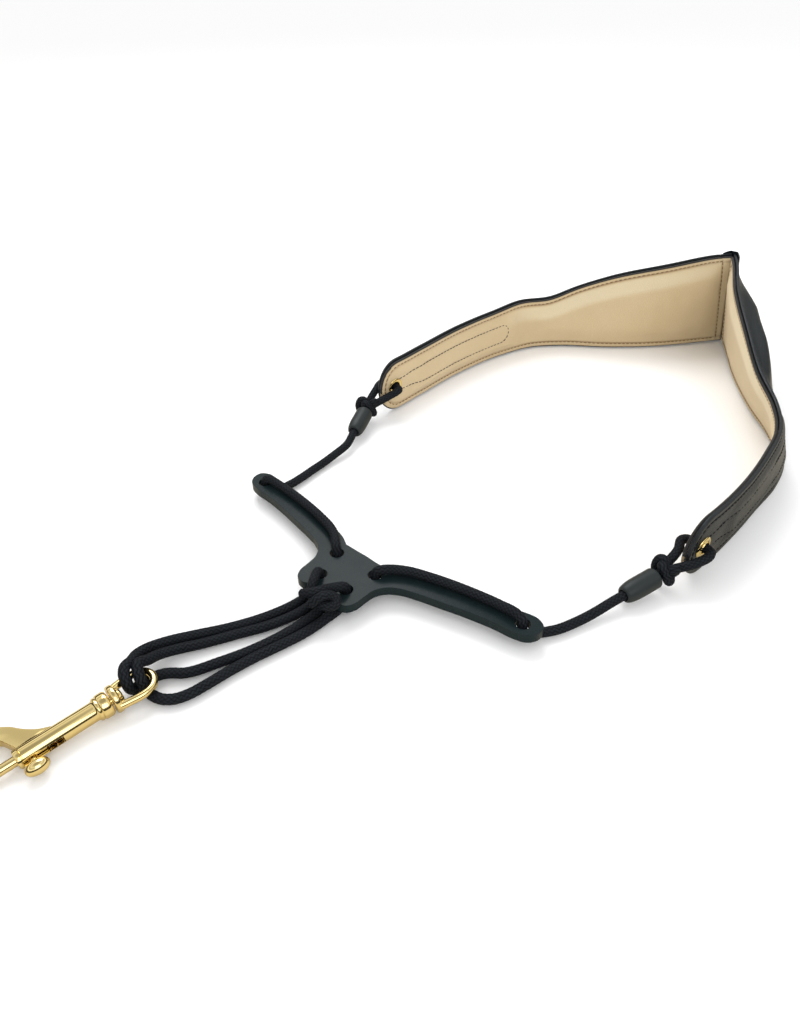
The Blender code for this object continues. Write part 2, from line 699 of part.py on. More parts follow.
def bolt_spring(seat):
    """The coil spring behind the bolt."""
    points = SPRING_TURNS * 8
    first = BORE_START + 0.3 + SPRING_WIRE
    last = PISTON[0] - 0.3 - SPRING_WIRE
    route = []
    for i in range(points + 1):
        turn = 2 * math.pi * i / 8
        route.append((SPRING_COIL * math.cos(turn), SPRING_COIL * math.sin(turn),
                      first + (last - first) * i / points))
    tube("bolt_spring", route, SPRING_WIRE, SPRING_STEEL, seat, resolution=1)


def neck_cords(inside):
    """From each knot through its bead to the yoke's arm end; the right one in two lengths."""
    left_start = Vector(BEAD_LEFT[1]) + (Vector(BEAD_LEFT[1]) - Vector(BEAD_LEFT[0])).normalized() * 0.3
    left = [tuple(left_start), BEAD_LEFT[0], (-58.3, 58.8, 4.0), (-58.2, 51.0, 2.9),
            (-58.3, 44.0, 2.2), (-58.1, 37.0, CORD_Z), (-57.8, 30.0, CORD_Z), (-58.0, 23.5, CORD_Z)]
    left += list(reversed(down_hole((-END_HOLE[0], END_HOLE[1]), (0.35, 1.0), inside)))
    cord("left_neck_cord", left, CORD_CLOTH)
    right_start = Vector(BEAD_RIGHT[1]) + (Vector(BEAD_RIGHT[1]) - Vector(BEAD_RIGHT[0])).normalized() * 0.3
    upper = [tuple(right_start), BEAD_RIGHT[0], (77.5, 43.0, 4.0), (75.7, 38.2, 3.1), NECK_JOIN]
    cord("right_neck_cord_upper", upper, CORD_CLOTH)
    lower = [NECK_JOIN_BELOW, (72.2, 29.4, 2.3), (69.2, 23.0, CORD_Z), (65.6, 18.2, CORD_Z)]
    lower += list(reversed(down_hole(END_HOLE, (0.6, 0.8), inside)))
    cord("right_neck_cord_lower", lower, CORD_CLOTH)


def arm_cords(inside, top):
    """Along the top of each arm, down through its two holes."""
    for name, side in (("left_arm_cord", -1), ("right_arm_cord", 1)):
        end = (side * END_HOLE[0], END_HOLE[1])
        inner = (side * INNER_HOLE[0], INNER_HOLE[1])
        route = up_hole(end, (-side, 0.1), inside, top)
        route += [(side * x, y, top) for x, y in ARM_ROUTE]
        route += list(reversed(up_hole(inner, (side * 0.75, 0.65), inside, top)))
        cord(name, route, CORD_CLOTH)


def hook_loops(inside, top):
    """Two lengths, each from an inner hole through the snap's eye and back to a lower hole."""
    left = down_hole((-INNER_HOLE[0], INNER_HOLE[1]), (0.72, -0.7), inside)
    left += [(-4.6, -4.6, CORD_Z), (-2.4, -9.0, CORD_Z), (-2.0, -14.0, CORD_Z), (-2.0, -20.0, CORD_Z),
             (-2.9, -27.0, CORD_Z), (-6.4, -37.5, 2.2), (-13.6, -49.6, 2.6), (-21.6, -59.0, 3.6),
             (-26.2, -66.4, 5.6), (-25.6, -73.0, 8.2),
             snap_point(4.2, -6.4, 3.7), snap_point(4.7, -3.0, 3.3), snap_point(4.8, -0.3, 1.6),
             snap_point(4.8, 0.9, -0.8), snap_point(4.6, 2.4, -3.0), snap_point(3.6, 5.4, -3.7),
             (-8.6, -77.9, CORD_Z), (-5.4, -75.6, CORD_Z), (-3.0, -72.0, CORD_Z), (-1.4, -66.0, CORD_Z),
             (0.2, -59.0, CORD_Z), (2.0, -50.0, CORD_Z), (4.0, -40.0, CORD_Z), (5.6, -31.0, CORD_Z),
             (6.3, -23.0, CORD_Z)]
    left += list(reversed(down_hole(LOWER_HOLE, (0.05, -1.0), CORD_Z + BEND + 1.0)))
    left += up_hole(LOWER_HOLE, (-0.75, -0.66), top - BEND - 2.0, top)[1:]
    cord("left_hook_loop", left, CORD_CLOTH)
    right = down_hole(INNER_HOLE, (-0.72, -0.7), inside)
    right += [(4.6, -4.6, CORD_Z), (2.4, -9.0, CORD_Z), (2.0, -14.0, CORD_Z), (2.0, -20.0, CORD_Z),
              (1.8, -28.0, CORD_Z), (0.8, -37.0, CORD_Z), (-1.8, -47.5, CORD_Z), (-5.4, -57.0, CORD_Z),
              (-10.4, -66.0, CORD_Z), snap_point(-2.6, -0.9, -3.7), snap_point(1.2, -2.3, -3.6),
              snap_point(5.0, -2.4, -3.5), snap_point(7.2, -1.5, -2.8), snap_point(8.3, -1.1, -1.2),
              snap_point(8.6, -1.0, 0.6), snap_point(8.6, -1.5, 2.4), snap_point(8.4, -3.6, 3.9),
              snap_point(7.9, -7.0, 3.9),
              (-28.2, -77.2, 7.6), (-31.0, -70.6, 5.6), (-29.4, -62.6, 4.0), (-23.8, -53.4, 2.8),
              (-15.4, -43.0, 2.3), (-9.2, -33.4, CORD_Z), (-6.7, -24.6, CORD_Z)]
    hole = (-LOWER_HOLE[0], LOWER_HOLE[1])
    right += list(reversed(down_hole(hole, (-0.05, -1.0), CORD_Z + BEND + 1.0)))
    right += up_hole(hole, (0.75, -0.66), top - BEND - 2.0, top)[1:]
    cord("right_hook_loop", right, CORD_CLOTH)


for stray in list(bpy.data.objects):
    bpy.data.objects.remove(stray, do_unlink=True)

PARTS = new_collection("saxophone_neck_strap")
CUTTERS = new_collection("cutters")

BLACK_LEATHER = new_material("black_leather", (0.012, 0.013, 0.015), 0.45)
TAN_LEATHER = new_material("tan_leather", (0.66, 0.50, 0.31), 0.75)
FOAM = new_material("foam", (0.75, 0.72, 0.60), 0.95)
WEBBING = new_material("webbing", (0.55, 0.52, 0.46), 0.9)
CORD_CLOTH = new_material("braided_cord", (0.010, 0.011, 0.013), 0.8)
BEAD_PLASTIC = new_material("bead_plastic", (0.020, 0.026, 0.027), 0.5)
YOKE_METAL = new_material("yoke_metal", (0.035, 0.050, 0.048), 0.35, 0.6)
BRASS = new_material("polished_brass", (0.83, 0.60, 0.20), 0.15, 1.0)
SPRING_STEEL = new_material("spring_steel", (0.6, 0.6, 0.62), 0.3, 1.0)

FRAME = bpy.data.objects.new("strap_frame", None)
PARTS.objects.link(FRAME)
FRAME.location = (-ORIGIN[0] * MM, -ORIGIN[1] * MM, 0)

LEFT_HALF = PadHalf(1, LEFT_STATIONS)
RIGHT_HALF = PadHalf(-1, RIGHT_STATIONS)
MID_PLATE = YOKE_LOW + YOKE_THICK / 2
OVER_PLATE = YOKE_LOW + YOKE_THICK + 0.5 + CORD

pad_half("left", LEFT_HALF)
pad_half("right", RIGHT_HALF)
seam_spine(LEFT_HALF, RIGHT_HALF)
eyelet_loop("left_eyelet_loop", LEFT_HALF, KNOT_LEFT, None)
eyelet_loop("right_eyelet_loop", RIGHT_HALF, KNOT_RIGHT, None)
unit_ball("left_knot", KNOT_LEFT, np.subtract(BEAD_LEFT[1], BEAD_LEFT[0]), KNOT_SIZE, CORD_CLOTH)
unit_ball("right_knot", KNOT_RIGHT, np.subtract(BEAD_RIGHT[1], BEAD_RIGHT[0]), KNOT_SIZE, CORD_CLOTH)
bead("left_bead", BEAD_LEFT, None)
bead("right_bead", BEAD_RIGHT, None)
yoke_plate()
neck_cords(MID_PLATE - 0.2)
arm_cords(MID_PLATE + 0.2, OVER_PLATE)
hook_loops(MID_PLATE - 0.2, OVER_PLATE)
unit_ball("front_knot", FRONT_KNOT, (1, 0), FRONT_KNOT_SIZE, CORD_CLOTH)

EYE_FRAME = new_empty("swivel_eye_axis", snap_frame())
SNAP_FRAME = new_empty("snap_swivel_axis", snap_frame())
BOLT_FRAME = new_empty("bolt_axis", snap_frame())
swivel_eye(EYE_FRAME)
snap_body(SNAP_FRAME)
snap_rivet(SNAP_FRAME)
bolt_spring(SNAP_FRAME)
bolt_and_knob(BOLT_FRAME)
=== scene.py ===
import math
import bpy
import numpy as np
from mathutils import Matrix, Vector, noise


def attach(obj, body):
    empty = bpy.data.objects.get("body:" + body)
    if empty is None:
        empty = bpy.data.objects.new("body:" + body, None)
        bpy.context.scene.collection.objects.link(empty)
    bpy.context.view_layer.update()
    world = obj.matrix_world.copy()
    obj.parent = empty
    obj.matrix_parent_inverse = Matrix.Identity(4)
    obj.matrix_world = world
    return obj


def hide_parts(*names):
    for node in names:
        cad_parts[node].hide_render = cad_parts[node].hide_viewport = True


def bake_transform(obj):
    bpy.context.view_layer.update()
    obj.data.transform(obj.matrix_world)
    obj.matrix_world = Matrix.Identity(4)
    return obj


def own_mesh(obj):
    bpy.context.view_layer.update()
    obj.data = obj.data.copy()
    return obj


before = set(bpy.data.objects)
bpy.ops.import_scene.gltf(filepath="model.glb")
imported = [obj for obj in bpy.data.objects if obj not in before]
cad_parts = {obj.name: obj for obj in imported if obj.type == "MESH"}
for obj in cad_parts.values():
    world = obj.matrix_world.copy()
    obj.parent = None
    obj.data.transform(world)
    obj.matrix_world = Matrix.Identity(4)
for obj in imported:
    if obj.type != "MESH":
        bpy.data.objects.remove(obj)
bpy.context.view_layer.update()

# Lengths are millimetres from the yoke's inner holes until toMetres puts them in the model's frame.
origin = Vector((14.26, 71.54, 0.0))


def toMetres(point):
    return (Vector(point) - origin) * 0.001


def deselectAll():
    if bpy.context.object and bpy.context.object.mode != "OBJECT":
        bpy.ops.object.mode_set(mode="OBJECT")
    bpy.ops.object.select_all(action="DESELECT")


def pick(piece):
    deselectAll()
    piece.select_set(True)
    bpy.context.view_layer.objects.active = piece


def smoothCurve(knots, values, at):
    knots = np.asarray(knots, float)
    values = np.asarray(values, float)
    at = np.clip(np.asarray(at, float), knots[0], knots[-1])
    slopes = np.gradient(values, knots, axis=0)
    i = np.clip(np.searchsorted(knots, at, side="right") - 1, 0, len(knots) - 2)
    span = (knots[i + 1] - knots[i])[:, None]
    u = (at[:, None] - knots[i][:, None]) / span
    stay = 2 * u**3 - 3 * u**2 + 1
    return (values[i] * stay + values[i + 1] * (1 - stay)
            + span * (slopes[i] * (u**3 - 2 * u**2 + u) + slopes[i + 1] * (u**3 - u**2)))


def chainLength(points):
    steps = np.linalg.norm(np.diff(np.asarray(points, float), axis=0), axis=1)
    return np.concatenate([[0.0], np.cumsum(steps)])


def evenly(points, step):
    knots = chainLength(points)
    fine = smoothCurve(knots, points, np.linspace(0, knots[-1], int(knots[-1] / 0.2) + 2))
    run = chainLength(fine)
    at = np.linspace(0, run[-1], int(run[-1] / step) + 2)
    return np.stack([np.interp(at, run, fine[:, i]) for i in range(3)], axis=1)


# ---- camera
viewSettings = {"place": (135.8, -140.8, 186.3), "heading": (-0.634, 0.773), "down": 38.5, "lens": 26.165}
camera = bpy.data.objects.new("camera", bpy.data.cameras.new("camera"))
bpy.context.scene.collection.objects.link(camera)
camera.location = toMetres(viewSettings["place"])
down = math.radians(viewSettings["down"])
look = Vector((viewSettings["heading"][0] * math.cos(down), viewSettings["heading"][1] * math.cos(down),
               -math.sin(down)))
camera.rotation_mode = "QUATERNION"
camera.rotation_quaternion = look.to_track_quat("-Z", "Y")
camera.data.lens = viewSettings["lens"]
camera.data.sensor_width = 36
camera.data.clip_start = 0.005
bpy.context.scene.camera = camera
print("camera set")


# ---- materials
def newMaterial(name):
    material = bpy.data.materials.new(name)
    material.use_nodes = True
    shader = material.node_tree.nodes["Principled BSDF"]
    return material, material.node_tree.nodes, material.node_tree.links, shader


def newGroup(name, inputs, outputs):
    group = bpy.data.node_groups.new(name, "ShaderNodeTree")
    for label, kind, value in inputs:
        socket = group.interface.new_socket(name=label, in_out="INPUT", socket_type=kind)
        if value is not None:
            socket.default_value = value
    for label, kind in outputs:
        group.interface.new_socket(name=label, in_out="OUTPUT", socket_type=kind)
    return group, group.nodes, group.links, group.nodes.new("NodeGroupInput"), group.nodes.new("NodeGroupOutput")


def mathNode(nodes, links, operation, first, second=None, third=None):
    node = nodes.new("ShaderNodeMath")
    node.operation = operation
    for i, value in enumerate((first, second, third)):
        if value is None:
            continue
        if isinstance(value, (int, float)):
            node.inputs[i].default_value = value
        else:
            links.new(value, node.inputs[i])
    return node.outputs[0]


def mixColour(nodes, links, factor, first, second):
    node = nodes.new("ShaderNodeMix")
    node.data_type = "RGBA"
    node.clamp_factor = True
    for socket, value in ((node.inputs[0], factor), (node.inputs[6], first), (node.inputs[7], second)):
        if isinstance(value, (int, float)):
            socket.default_value = value
        elif isinstance(value, tuple):
            socket.default_value = (*value, 1.0)
        else:
            links.new(value, socket)
    return node.outputs[2]


def noiseNode(nodes, links, vector, scale, detail=3.0, rough=0.55):
    node = nodes.new("ShaderNodeTexNoise")
    node.inputs["Scale"].default_value = scale
    node.inputs["Detail"].default_value = detail
    node.inputs["Roughness"].default_value = rough
    links.new(vector, node.inputs["Vector"])
    return node.outputs["Fac"]


def leatherGrain():
    # pebbled hide: cells with fine pores, and slow mottling
    group, nodes, links, inward, outward = newGroup(
        "leatherGrain",
        [("Vector", "NodeSocketVector", None), ("Cell Size", "NodeSocketFloat", 900.0)],
        [("Height", "NodeSocketFloat"), ("Mottle", "NodeSocketFloat")])
    cells = nodes.new("ShaderNodeTexVoronoi")
    cells.feature = "DISTANCE_TO_EDGE"
    links.new(inward.outputs["Vector"], cells.inputs["Vector"])
    links.new(inward.outputs["Cell Size"], cells.inputs["Scale"])
    crease = mathNode(nodes, links, "MULTIPLY", cells.outputs["Distance"], 3.0)
    crease = mathNode(nodes, links, "MINIMUM", crease, 1.0)
    pores = noiseNode(nodes, links, inward.outputs["Vector"], 3200.0, 2.0)
    mottle = noiseNode(nodes, links, inward.outputs["Vector"], 55.0, 4.0)
    height = mathNode(nodes, links, "MULTIPLY_ADD", pores, 0.35, crease)
    links.new(height, outward.inputs["Height"])
    links.new(mottle, outward.inputs["Mottle"])
    return group


def fineWear():
    # slow dulling and hairline marks on handled metal and plastic
    group, nodes, links, inward, outward = newGroup(
        "fineWear",
        [("Vector", "NodeSocketVector", None), ("Base", "NodeSocketFloat", 0.3), ("Amount", "NodeSocketFloat", 0.1)],
        [("Roughness", "NodeSocketFloat"), ("Height", "NodeSocketFloat"), ("Cloud", "NodeSocketFloat")])
    cloud = noiseNode(nodes, links, inward.outputs["Vector"], 120.0, 4.0)
    speck = noiseNode(nodes, links, inward.outputs["Vector"], 2600.0, 2.0)
    both = mathNode(nodes, links, "MULTIPLY_ADD", speck, 0.4, cloud)
    centred = mathNode(nodes, links, "SUBTRACT", both, 0.7)
    rough = mathNode(nodes, links, "MULTIPLY_ADD", centred, inward.outputs["Amount"], inward.outputs["Base"])
    links.new(rough, outward.inputs["Roughness"])
    links.new(speck, outward.inputs["Height"])
    links.new(cloud, outward.inputs["Cloud"])
    return group


grainGroup = leatherGrain()
wearGroup = fineWear()


def useGroup(nodes, links, group, vector, values):
    node = nodes.new("ShaderNodeGroup")
    node.node_tree = group
    links.new(vector, node.inputs["Vector"])
    for label, value in values.items():
        node.inputs[label].default_value = value
    return node


def addBump(nodes, links, shader, height, strength, distance):
    bump = nodes.new("ShaderNodeBump")
    bump.inputs["Strength"].default_value = strength
    bump.inputs["Distance"].default_value = distance
    links.new(height, bump.inputs["Height"])
    links.new(bump.outputs["Normal"], shader.inputs["Normal"])


def coordinates(nodes, kind="Object"):
    return nodes.new("ShaderNodeTexCoord").outputs[kind]


def attributeValue(nodes, name):
    node = nodes.new("ShaderNodeAttribute")
    node.attribute_name = name
    return node.outputs["Fac"]


def surface(links, shader, colour, rough, specular=0.5):
    for label, value in (("Base Color", colour), ("Roughness", rough), ("Specular IOR Level", specular)):
        if isinstance(value, (int, float)):
            shader.inputs[label].default_value = value
        else:
            links.new(value, shader.inputs[label])


def tinted(nodes, links, colour, where, share, tint):
    return mixColour(nodes, links, mathNode(nodes, links, "MULTIPLY", where, share), colour, tint)


def blackLeather():
    material, nodes, links, shader = newMaterial("blackGrainedLeather")
    grain = useGroup(nodes, links, grainGroup, coordinates(nodes), {"Cell Size": 850.0})
    colour = mixColour(nodes, links, grain.outputs["Mottle"], (0.006, 0.0088, 0.0105), (0.0125, 0.017, 0.020))
    colour = tinted(nodes, links, colour, attributeValue(nodes, "rim"), 0.5, (0.022, 0.024, 0.027))
    surface(links, shader, colour, mathNode(nodes, links, "MULTIPLY_ADD", grain.outputs["Mottle"], 0.2, 0.28), 0.27)
    addBump(nodes, links, shader, grain.outputs["Height"], 0.45, 0.00012)
    return material


def tanLeather():
    material, nodes, links, shader = newMaterial("tanSplitLeather")
    grain = useGroup(nodes, links, grainGroup, coordinates(nodes), {"Cell Size": 1500.0})
    stretch = nodes.new("ShaderNodeMapping")
    stretch.inputs["Scale"].default_value = (700.0, 1900.0, 1.0)
    links.new(coordinates(nodes, "UV"), stretch.inputs["Vector"])
    fibre = noiseNode(nodes, links, stretch.outputs["Vector"], 1.0, 2.0)
    colour = mixColour(nodes, links, grain.outputs["Mottle"], (0.56, 0.435, 0.255), (0.66, 0.535, 0.345))
    # crownHighlight is painted highlight on the lining's padded shoulder, plus painted lightening by the seam where
    # that corner lies in shade
    # stitchGrooveShade is painted shade: dark brown along the stitch lines and the seam, where their grooves lie in
    # shadow
    for where, share, tint in ((fibre, 0.5, (0.47, 0.35, 0.19)), ("rim", 0.55, (0.44, 0.31, 0.165)),
                               ("stitchGrooveShade", 0.72, (0.17, 0.085, 0.03)), ("crownHighlight", 0.6, (0.72, 0.63, 0.44)),
                               ("dye", 1.0, (0.018, 0.017, 0.017))):
        where = attributeValue(nodes, where) if isinstance(where, str) else where
        colour = tinted(nodes, links, colour, where, share, tint)
    surface(links, shader, colour, 0.72, 0.25)
    shader.inputs["Sheen Weight"].default_value = 0.12
    shader.inputs["Sheen Roughness"].default_value = 0.5
    both = mathNode(nodes, links, "MULTIPLY_ADD", fibre, 0.6, grain.outputs["Height"])
    addBump(nodes, links, shader, both, 0.5, 0.00014)
    return material


def threadMaterial(name, dark, light):
    material, nodes, links, shader = newMaterial(name)
    twist = nodes.new("ShaderNodeTexWave")
    twist.inputs["Scale"].default_value = 700.0
    twist.inputs["Distortion"].default_value = 2.0
    links.new(coordinates(nodes), twist.inputs["Vector"])
    surface(links, shader, mixColour(nodes, links, twist.outputs["Fac"], dark, light), 0.6, 0.3)
    addBump(nodes, links, shader, twist.outputs["Fac"], 0.4, 0.0001)
    return material


def braidMaterial():
    material, nodes, links, shader = newMaterial("braidedCord")
    where = coordinates(nodes)
    cloud = noiseNode(nodes, links, where, 400.0, 3.0)
    fibre = noiseNode(nodes, links, where, 5200.0, 2.0)
    # painted shade and painted highlight: the braid's grooves are coloured near black and the tops of the strands
    # lighter, following the strands' height
    weaveShade = mathNode(nodes, links, "POWER", attributeValue(nodes, "weave"), 2.5)
    colour = mixColour(nodes, links, weaveShade, (0.0006, 0.0008, 0.0011), (0.020, 0.0235, 0.029))
    surface(links, shader, tinted(nodes, links, colour, cloud, 0.5, (0.004, 0.005, 0.0065)), 0.6, 0.07)
    addBump(nodes, links, shader, fibre, 0.5, 0.00008)
    return material


def wornMaterial(name, base, amount, dark, light, specular=0.5, metallic=0.0, bump=None):
    material, nodes, links, shader = newMaterial(name)
    wear = useGroup(nodes, links, wearGroup, coordinates(nodes), {"Base": base, "Amount": amount})
    colour = mixColour(nodes, links, wear.outputs["Cloud"], dark, light)
    surface(links, shader, colour, wear.outputs["Roughness"], specular)
    shader.inputs["Metallic"].default_value = metallic
    if bump:
        addBump(nodes, links, shader, wear.outputs["Height"], *bump)
    return material


def foamMaterial():
    material, nodes, links, shader = newMaterial("paddingFoam")
    pores = nodes.new("ShaderNodeTexVoronoi")
    pores.inputs["Scale"].default_value = 1400.0
    links.new(coordinates(nodes), pores.inputs["Vector"])
    colour = mixColour(nodes, links, pores.outputs["Distance"], (0.50, 0.46, 0.34), (0.82, 0.79, 0.68))
    surface(links, shader, colour, 0.95)
    addBump(nodes, links, shader, pores.outputs["Distance"], 0.6, 0.0003)
    return material


def webbingMaterial():
    material, nodes, links, shader = newMaterial("strapWebbing")
    rib = nodes.new("ShaderNodeTexWave")
    rib.bands_direction = "Z"
    rib.inputs["Scale"].default_value = 320.0
    rib.inputs["Distortion"].default_value = 1.0
    links.new(coordinates(nodes), rib.inputs["Vector"])
    surface(links, shader, mixColour(nodes, links, rib.outputs["Fac"], (0.36, 0.33, 0.27), (0.60, 0.57, 0.50)), 0.9)
    addBump(nodes, links, shader, rib.outputs["Fac"], 0.5, 0.0002)
    return material


# each finish: its material and its slot
finishes = {
    "blackLeather": (blackLeather(), "black_leather"),
    "tanLeather": (tanLeather(), "tan_leather"),
    "edgeThread": (threadMaterial("edgeThread", (0.13, 0.075, 0.03), (0.26, 0.16, 0.07)), "tan_leather"),
    "darkThread": (threadMaterial("darkThread", (0.035, 0.030, 0.026), (0.10, 0.085, 0.07)), "tan_leather"),
    "blackThread": (threadMaterial("blackThread", (0.003, 0.003, 0.004), (0.010, 0.011, 0.013)), "black_leather"),
    "cord": (braidMaterial(), "braided_cord"),
    "yoke": (wornMaterial("darkAnodised", 0.27, 0.16, (0.0075, 0.0145, 0.016), (0.0125, 0.0205, 0.0225), 0.1,
                          bump=(0.08, 0.00004)), "yoke_metal"),
    "bead": (wornMaterial("mattBead", 0.46, 0.2, (0.011, 0.015, 0.016), (0.020, 0.027, 0.028), 0.28,
                          bump=(0.15, 0.00005)), "bead_plastic"),
    "gold": (wornMaterial("polishedGold", 0.10, 0.12, (0.85, 0.65, 0.265), (0.92, 0.755, 0.375), metallic=1.0,
                          bump=(0.05, 0.00004)), "polished_brass"),
    "spring": (wornMaterial("springSteel", 0.32, 0.2, (0.42, 0.36, 0.28), (0.62, 0.56, 0.45), metallic=1.0),
               "spring_steel"),
    "foam": (foamMaterial(), "foam"),
}
webbing = webbingMaterial()
print("materials made")


def dress(piece, finish, body=None, replaces=()):
    material, slot = finishes[finish]
    piece.data.materials.clear()
    piece.data.materials.append(material)
    if body:
        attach(piece, body)
    if replaces:
        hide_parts(*replaces)
    return piece


def meshPiece(name, points, faces):
    mesh = bpy.data.meshes.new(name)
    mesh.from_pydata([tuple(p) for p in points], [], faces)
    mesh.update()
    piece = bpy.data.objects.new(name, mesh)
    bpy.context.scene.collection.objects.link(piece)
    mesh.shade_smooth()
    return piece


def facesOut(piece):
    pick(piece)
    bpy.ops.object.mode_set(mode="EDIT")
    bpy.ops.mesh.select_all(action="SELECT")
    bpy.ops.mesh.normals_make_consistent(inside=False)
    bpy.ops.object.mode_set(mode="OBJECT")
    return piece


def smoothBy(piece, degrees):
    pick(piece)
    bpy.ops.object.shade_smooth_by_angle(angle=math.radians(degrees))


def cutWith(piece, cutter, operation="DIFFERENCE"):
    cut = piece.modifiers.new("cut", "BOOLEAN")
    cut.operation = operation
    cut.solver = "EXACT"
    cut.object = cutter
    pick(piece)
    bpy.ops.object.modifier_apply(modifier="cut")
    bpy.data.objects.remove(cutter)


def slabFaces(columns, rows, flip=False):
    # a grid of columns, the same grid again behind it, and the rim between them
    count = columns * rows
    faces = []
    for i in range(columns - 1):
        for j in range(rows - 1):
            a, b = i * rows + j, (i + 1) * rows + j
            faces += [(a, b, b + 1, a + 1), (count + a + 1, count + b + 1, count + b, count + a)]
    ring = [i * rows for i in range(columns)] + [count - rows + j for j in range(1, rows)]
    ring += [i * rows + rows - 1 for i in range(columns - 2, -1, -1)] + list(range(rows - 2, 0, -1))
    for i, a in enumerate(ring):
        b = ring[(i + 1) % len(ring)]
        faces.append((b, a, count + a, count + b))
    return [face[::-1] for face in faces] if flip else faces


def tubeFaces(rings, around, base=0):
    faces = []
    for i in range(rings - 1):
        for j in range(around):
            a, b = base + i * around + j, base + i * around + (j + 1) % around
            faces.append((a, b, b + around, a + around))
    faces.append(tuple(base + j for j in reversed(range(around))))
    faces.append(tuple(base + (rings - 1) * around + j for j in range(around)))
    return faces


def addAttribute(piece, name, values):
    attribute = piece.data.attributes.new(name, "FLOAT", "POINT")
    attribute.data.foreach_set("value", np.asarray(values, np.float32))


# ---- neck pad
pad = {"cover": 1.4, "lining": 1.2, "gap": 0.3, "margin": 3.0, "puffOut": 8.0, "puffIn": 1.7, "rise": 9.0,
       "outEnds": (45.0, 122.0, 52.0), "inEnds": (16.0, 117.0, 21.0), "strip": (132.0, 190.0), "stripRoom": 1.0,
       "tipRound": 11.0, "eyeletBack": 8.5, "footZ": 0.66, "stitchInset": 2.5, "stitchPitch": 2.3, "coverStart": 0.9,
       "liningStart": 2.8, "tall": 26.0, "loopEnd": 134.0, "loopHalf": 4.7, "tableSteps": 2200, "foamFill": 0.78,
       "punch": 3.05}
leftStations = (
    (29.2, 277.2, 50.0, -4.2, -9.6), (20.9, 266.2, 50.0, -2.2, -6.6), (1.4, 243.1, 47.0, 0.9, -3.6),
    (-19.7, 224.8, 41.0, 0.8, -1.2), (-37.5, 212.6, 33.0, 0.2, -0.2), (-49.6, 200.0, 28.6, 0.0, 0.0),
    (-57.4, 180.8, 27.2, 0.0, 0.0), (-63.4, 148.0, 26.6, 0.0, 0.0), (-64.8, 119.0, 26.2, 0.0, 0.0),
    (-65.6, 101.0, 26.0, 0.0, 0.0), (-67.0, 91.4, 26.0, 0.0, 0.0))
rightStations = (
    (29.2, 277.2, 50.0, -4.2, -9.6), (37.4, 262.4, 50.0, -6.8, -7.2), (51.4, 235.8, 47.0, -10.4, -5.4),
    (69.6, 208.4, 41.0, -12.2, -6.2), (84.4, 190.0, 33.0, -12.8, -7.0), (94.2, 172.5, 28.6, -9.8, -4.4),
    (97.2, 152.0, 27.2, -5.2, -0.8), (96.2, 132.0, 26.6, -2.0, 0.0), (95.0, 110.0, 26.2, -0.4, 0.0),
    (92.7, 87.6, 26.0, 0.0, 0.0), (90.0, 71.6, 26.0, 0.0, 0.0))
edgeWaves = ((103.0, 9.5, -1.8), (123.0, 10.0, 1.0))  # the left half's top edge: place, width and lift


def swell(distance, rise):
    u = min(max(distance / rise, 0.0), 1.0)
    return u * u * (3 - 2 * u)


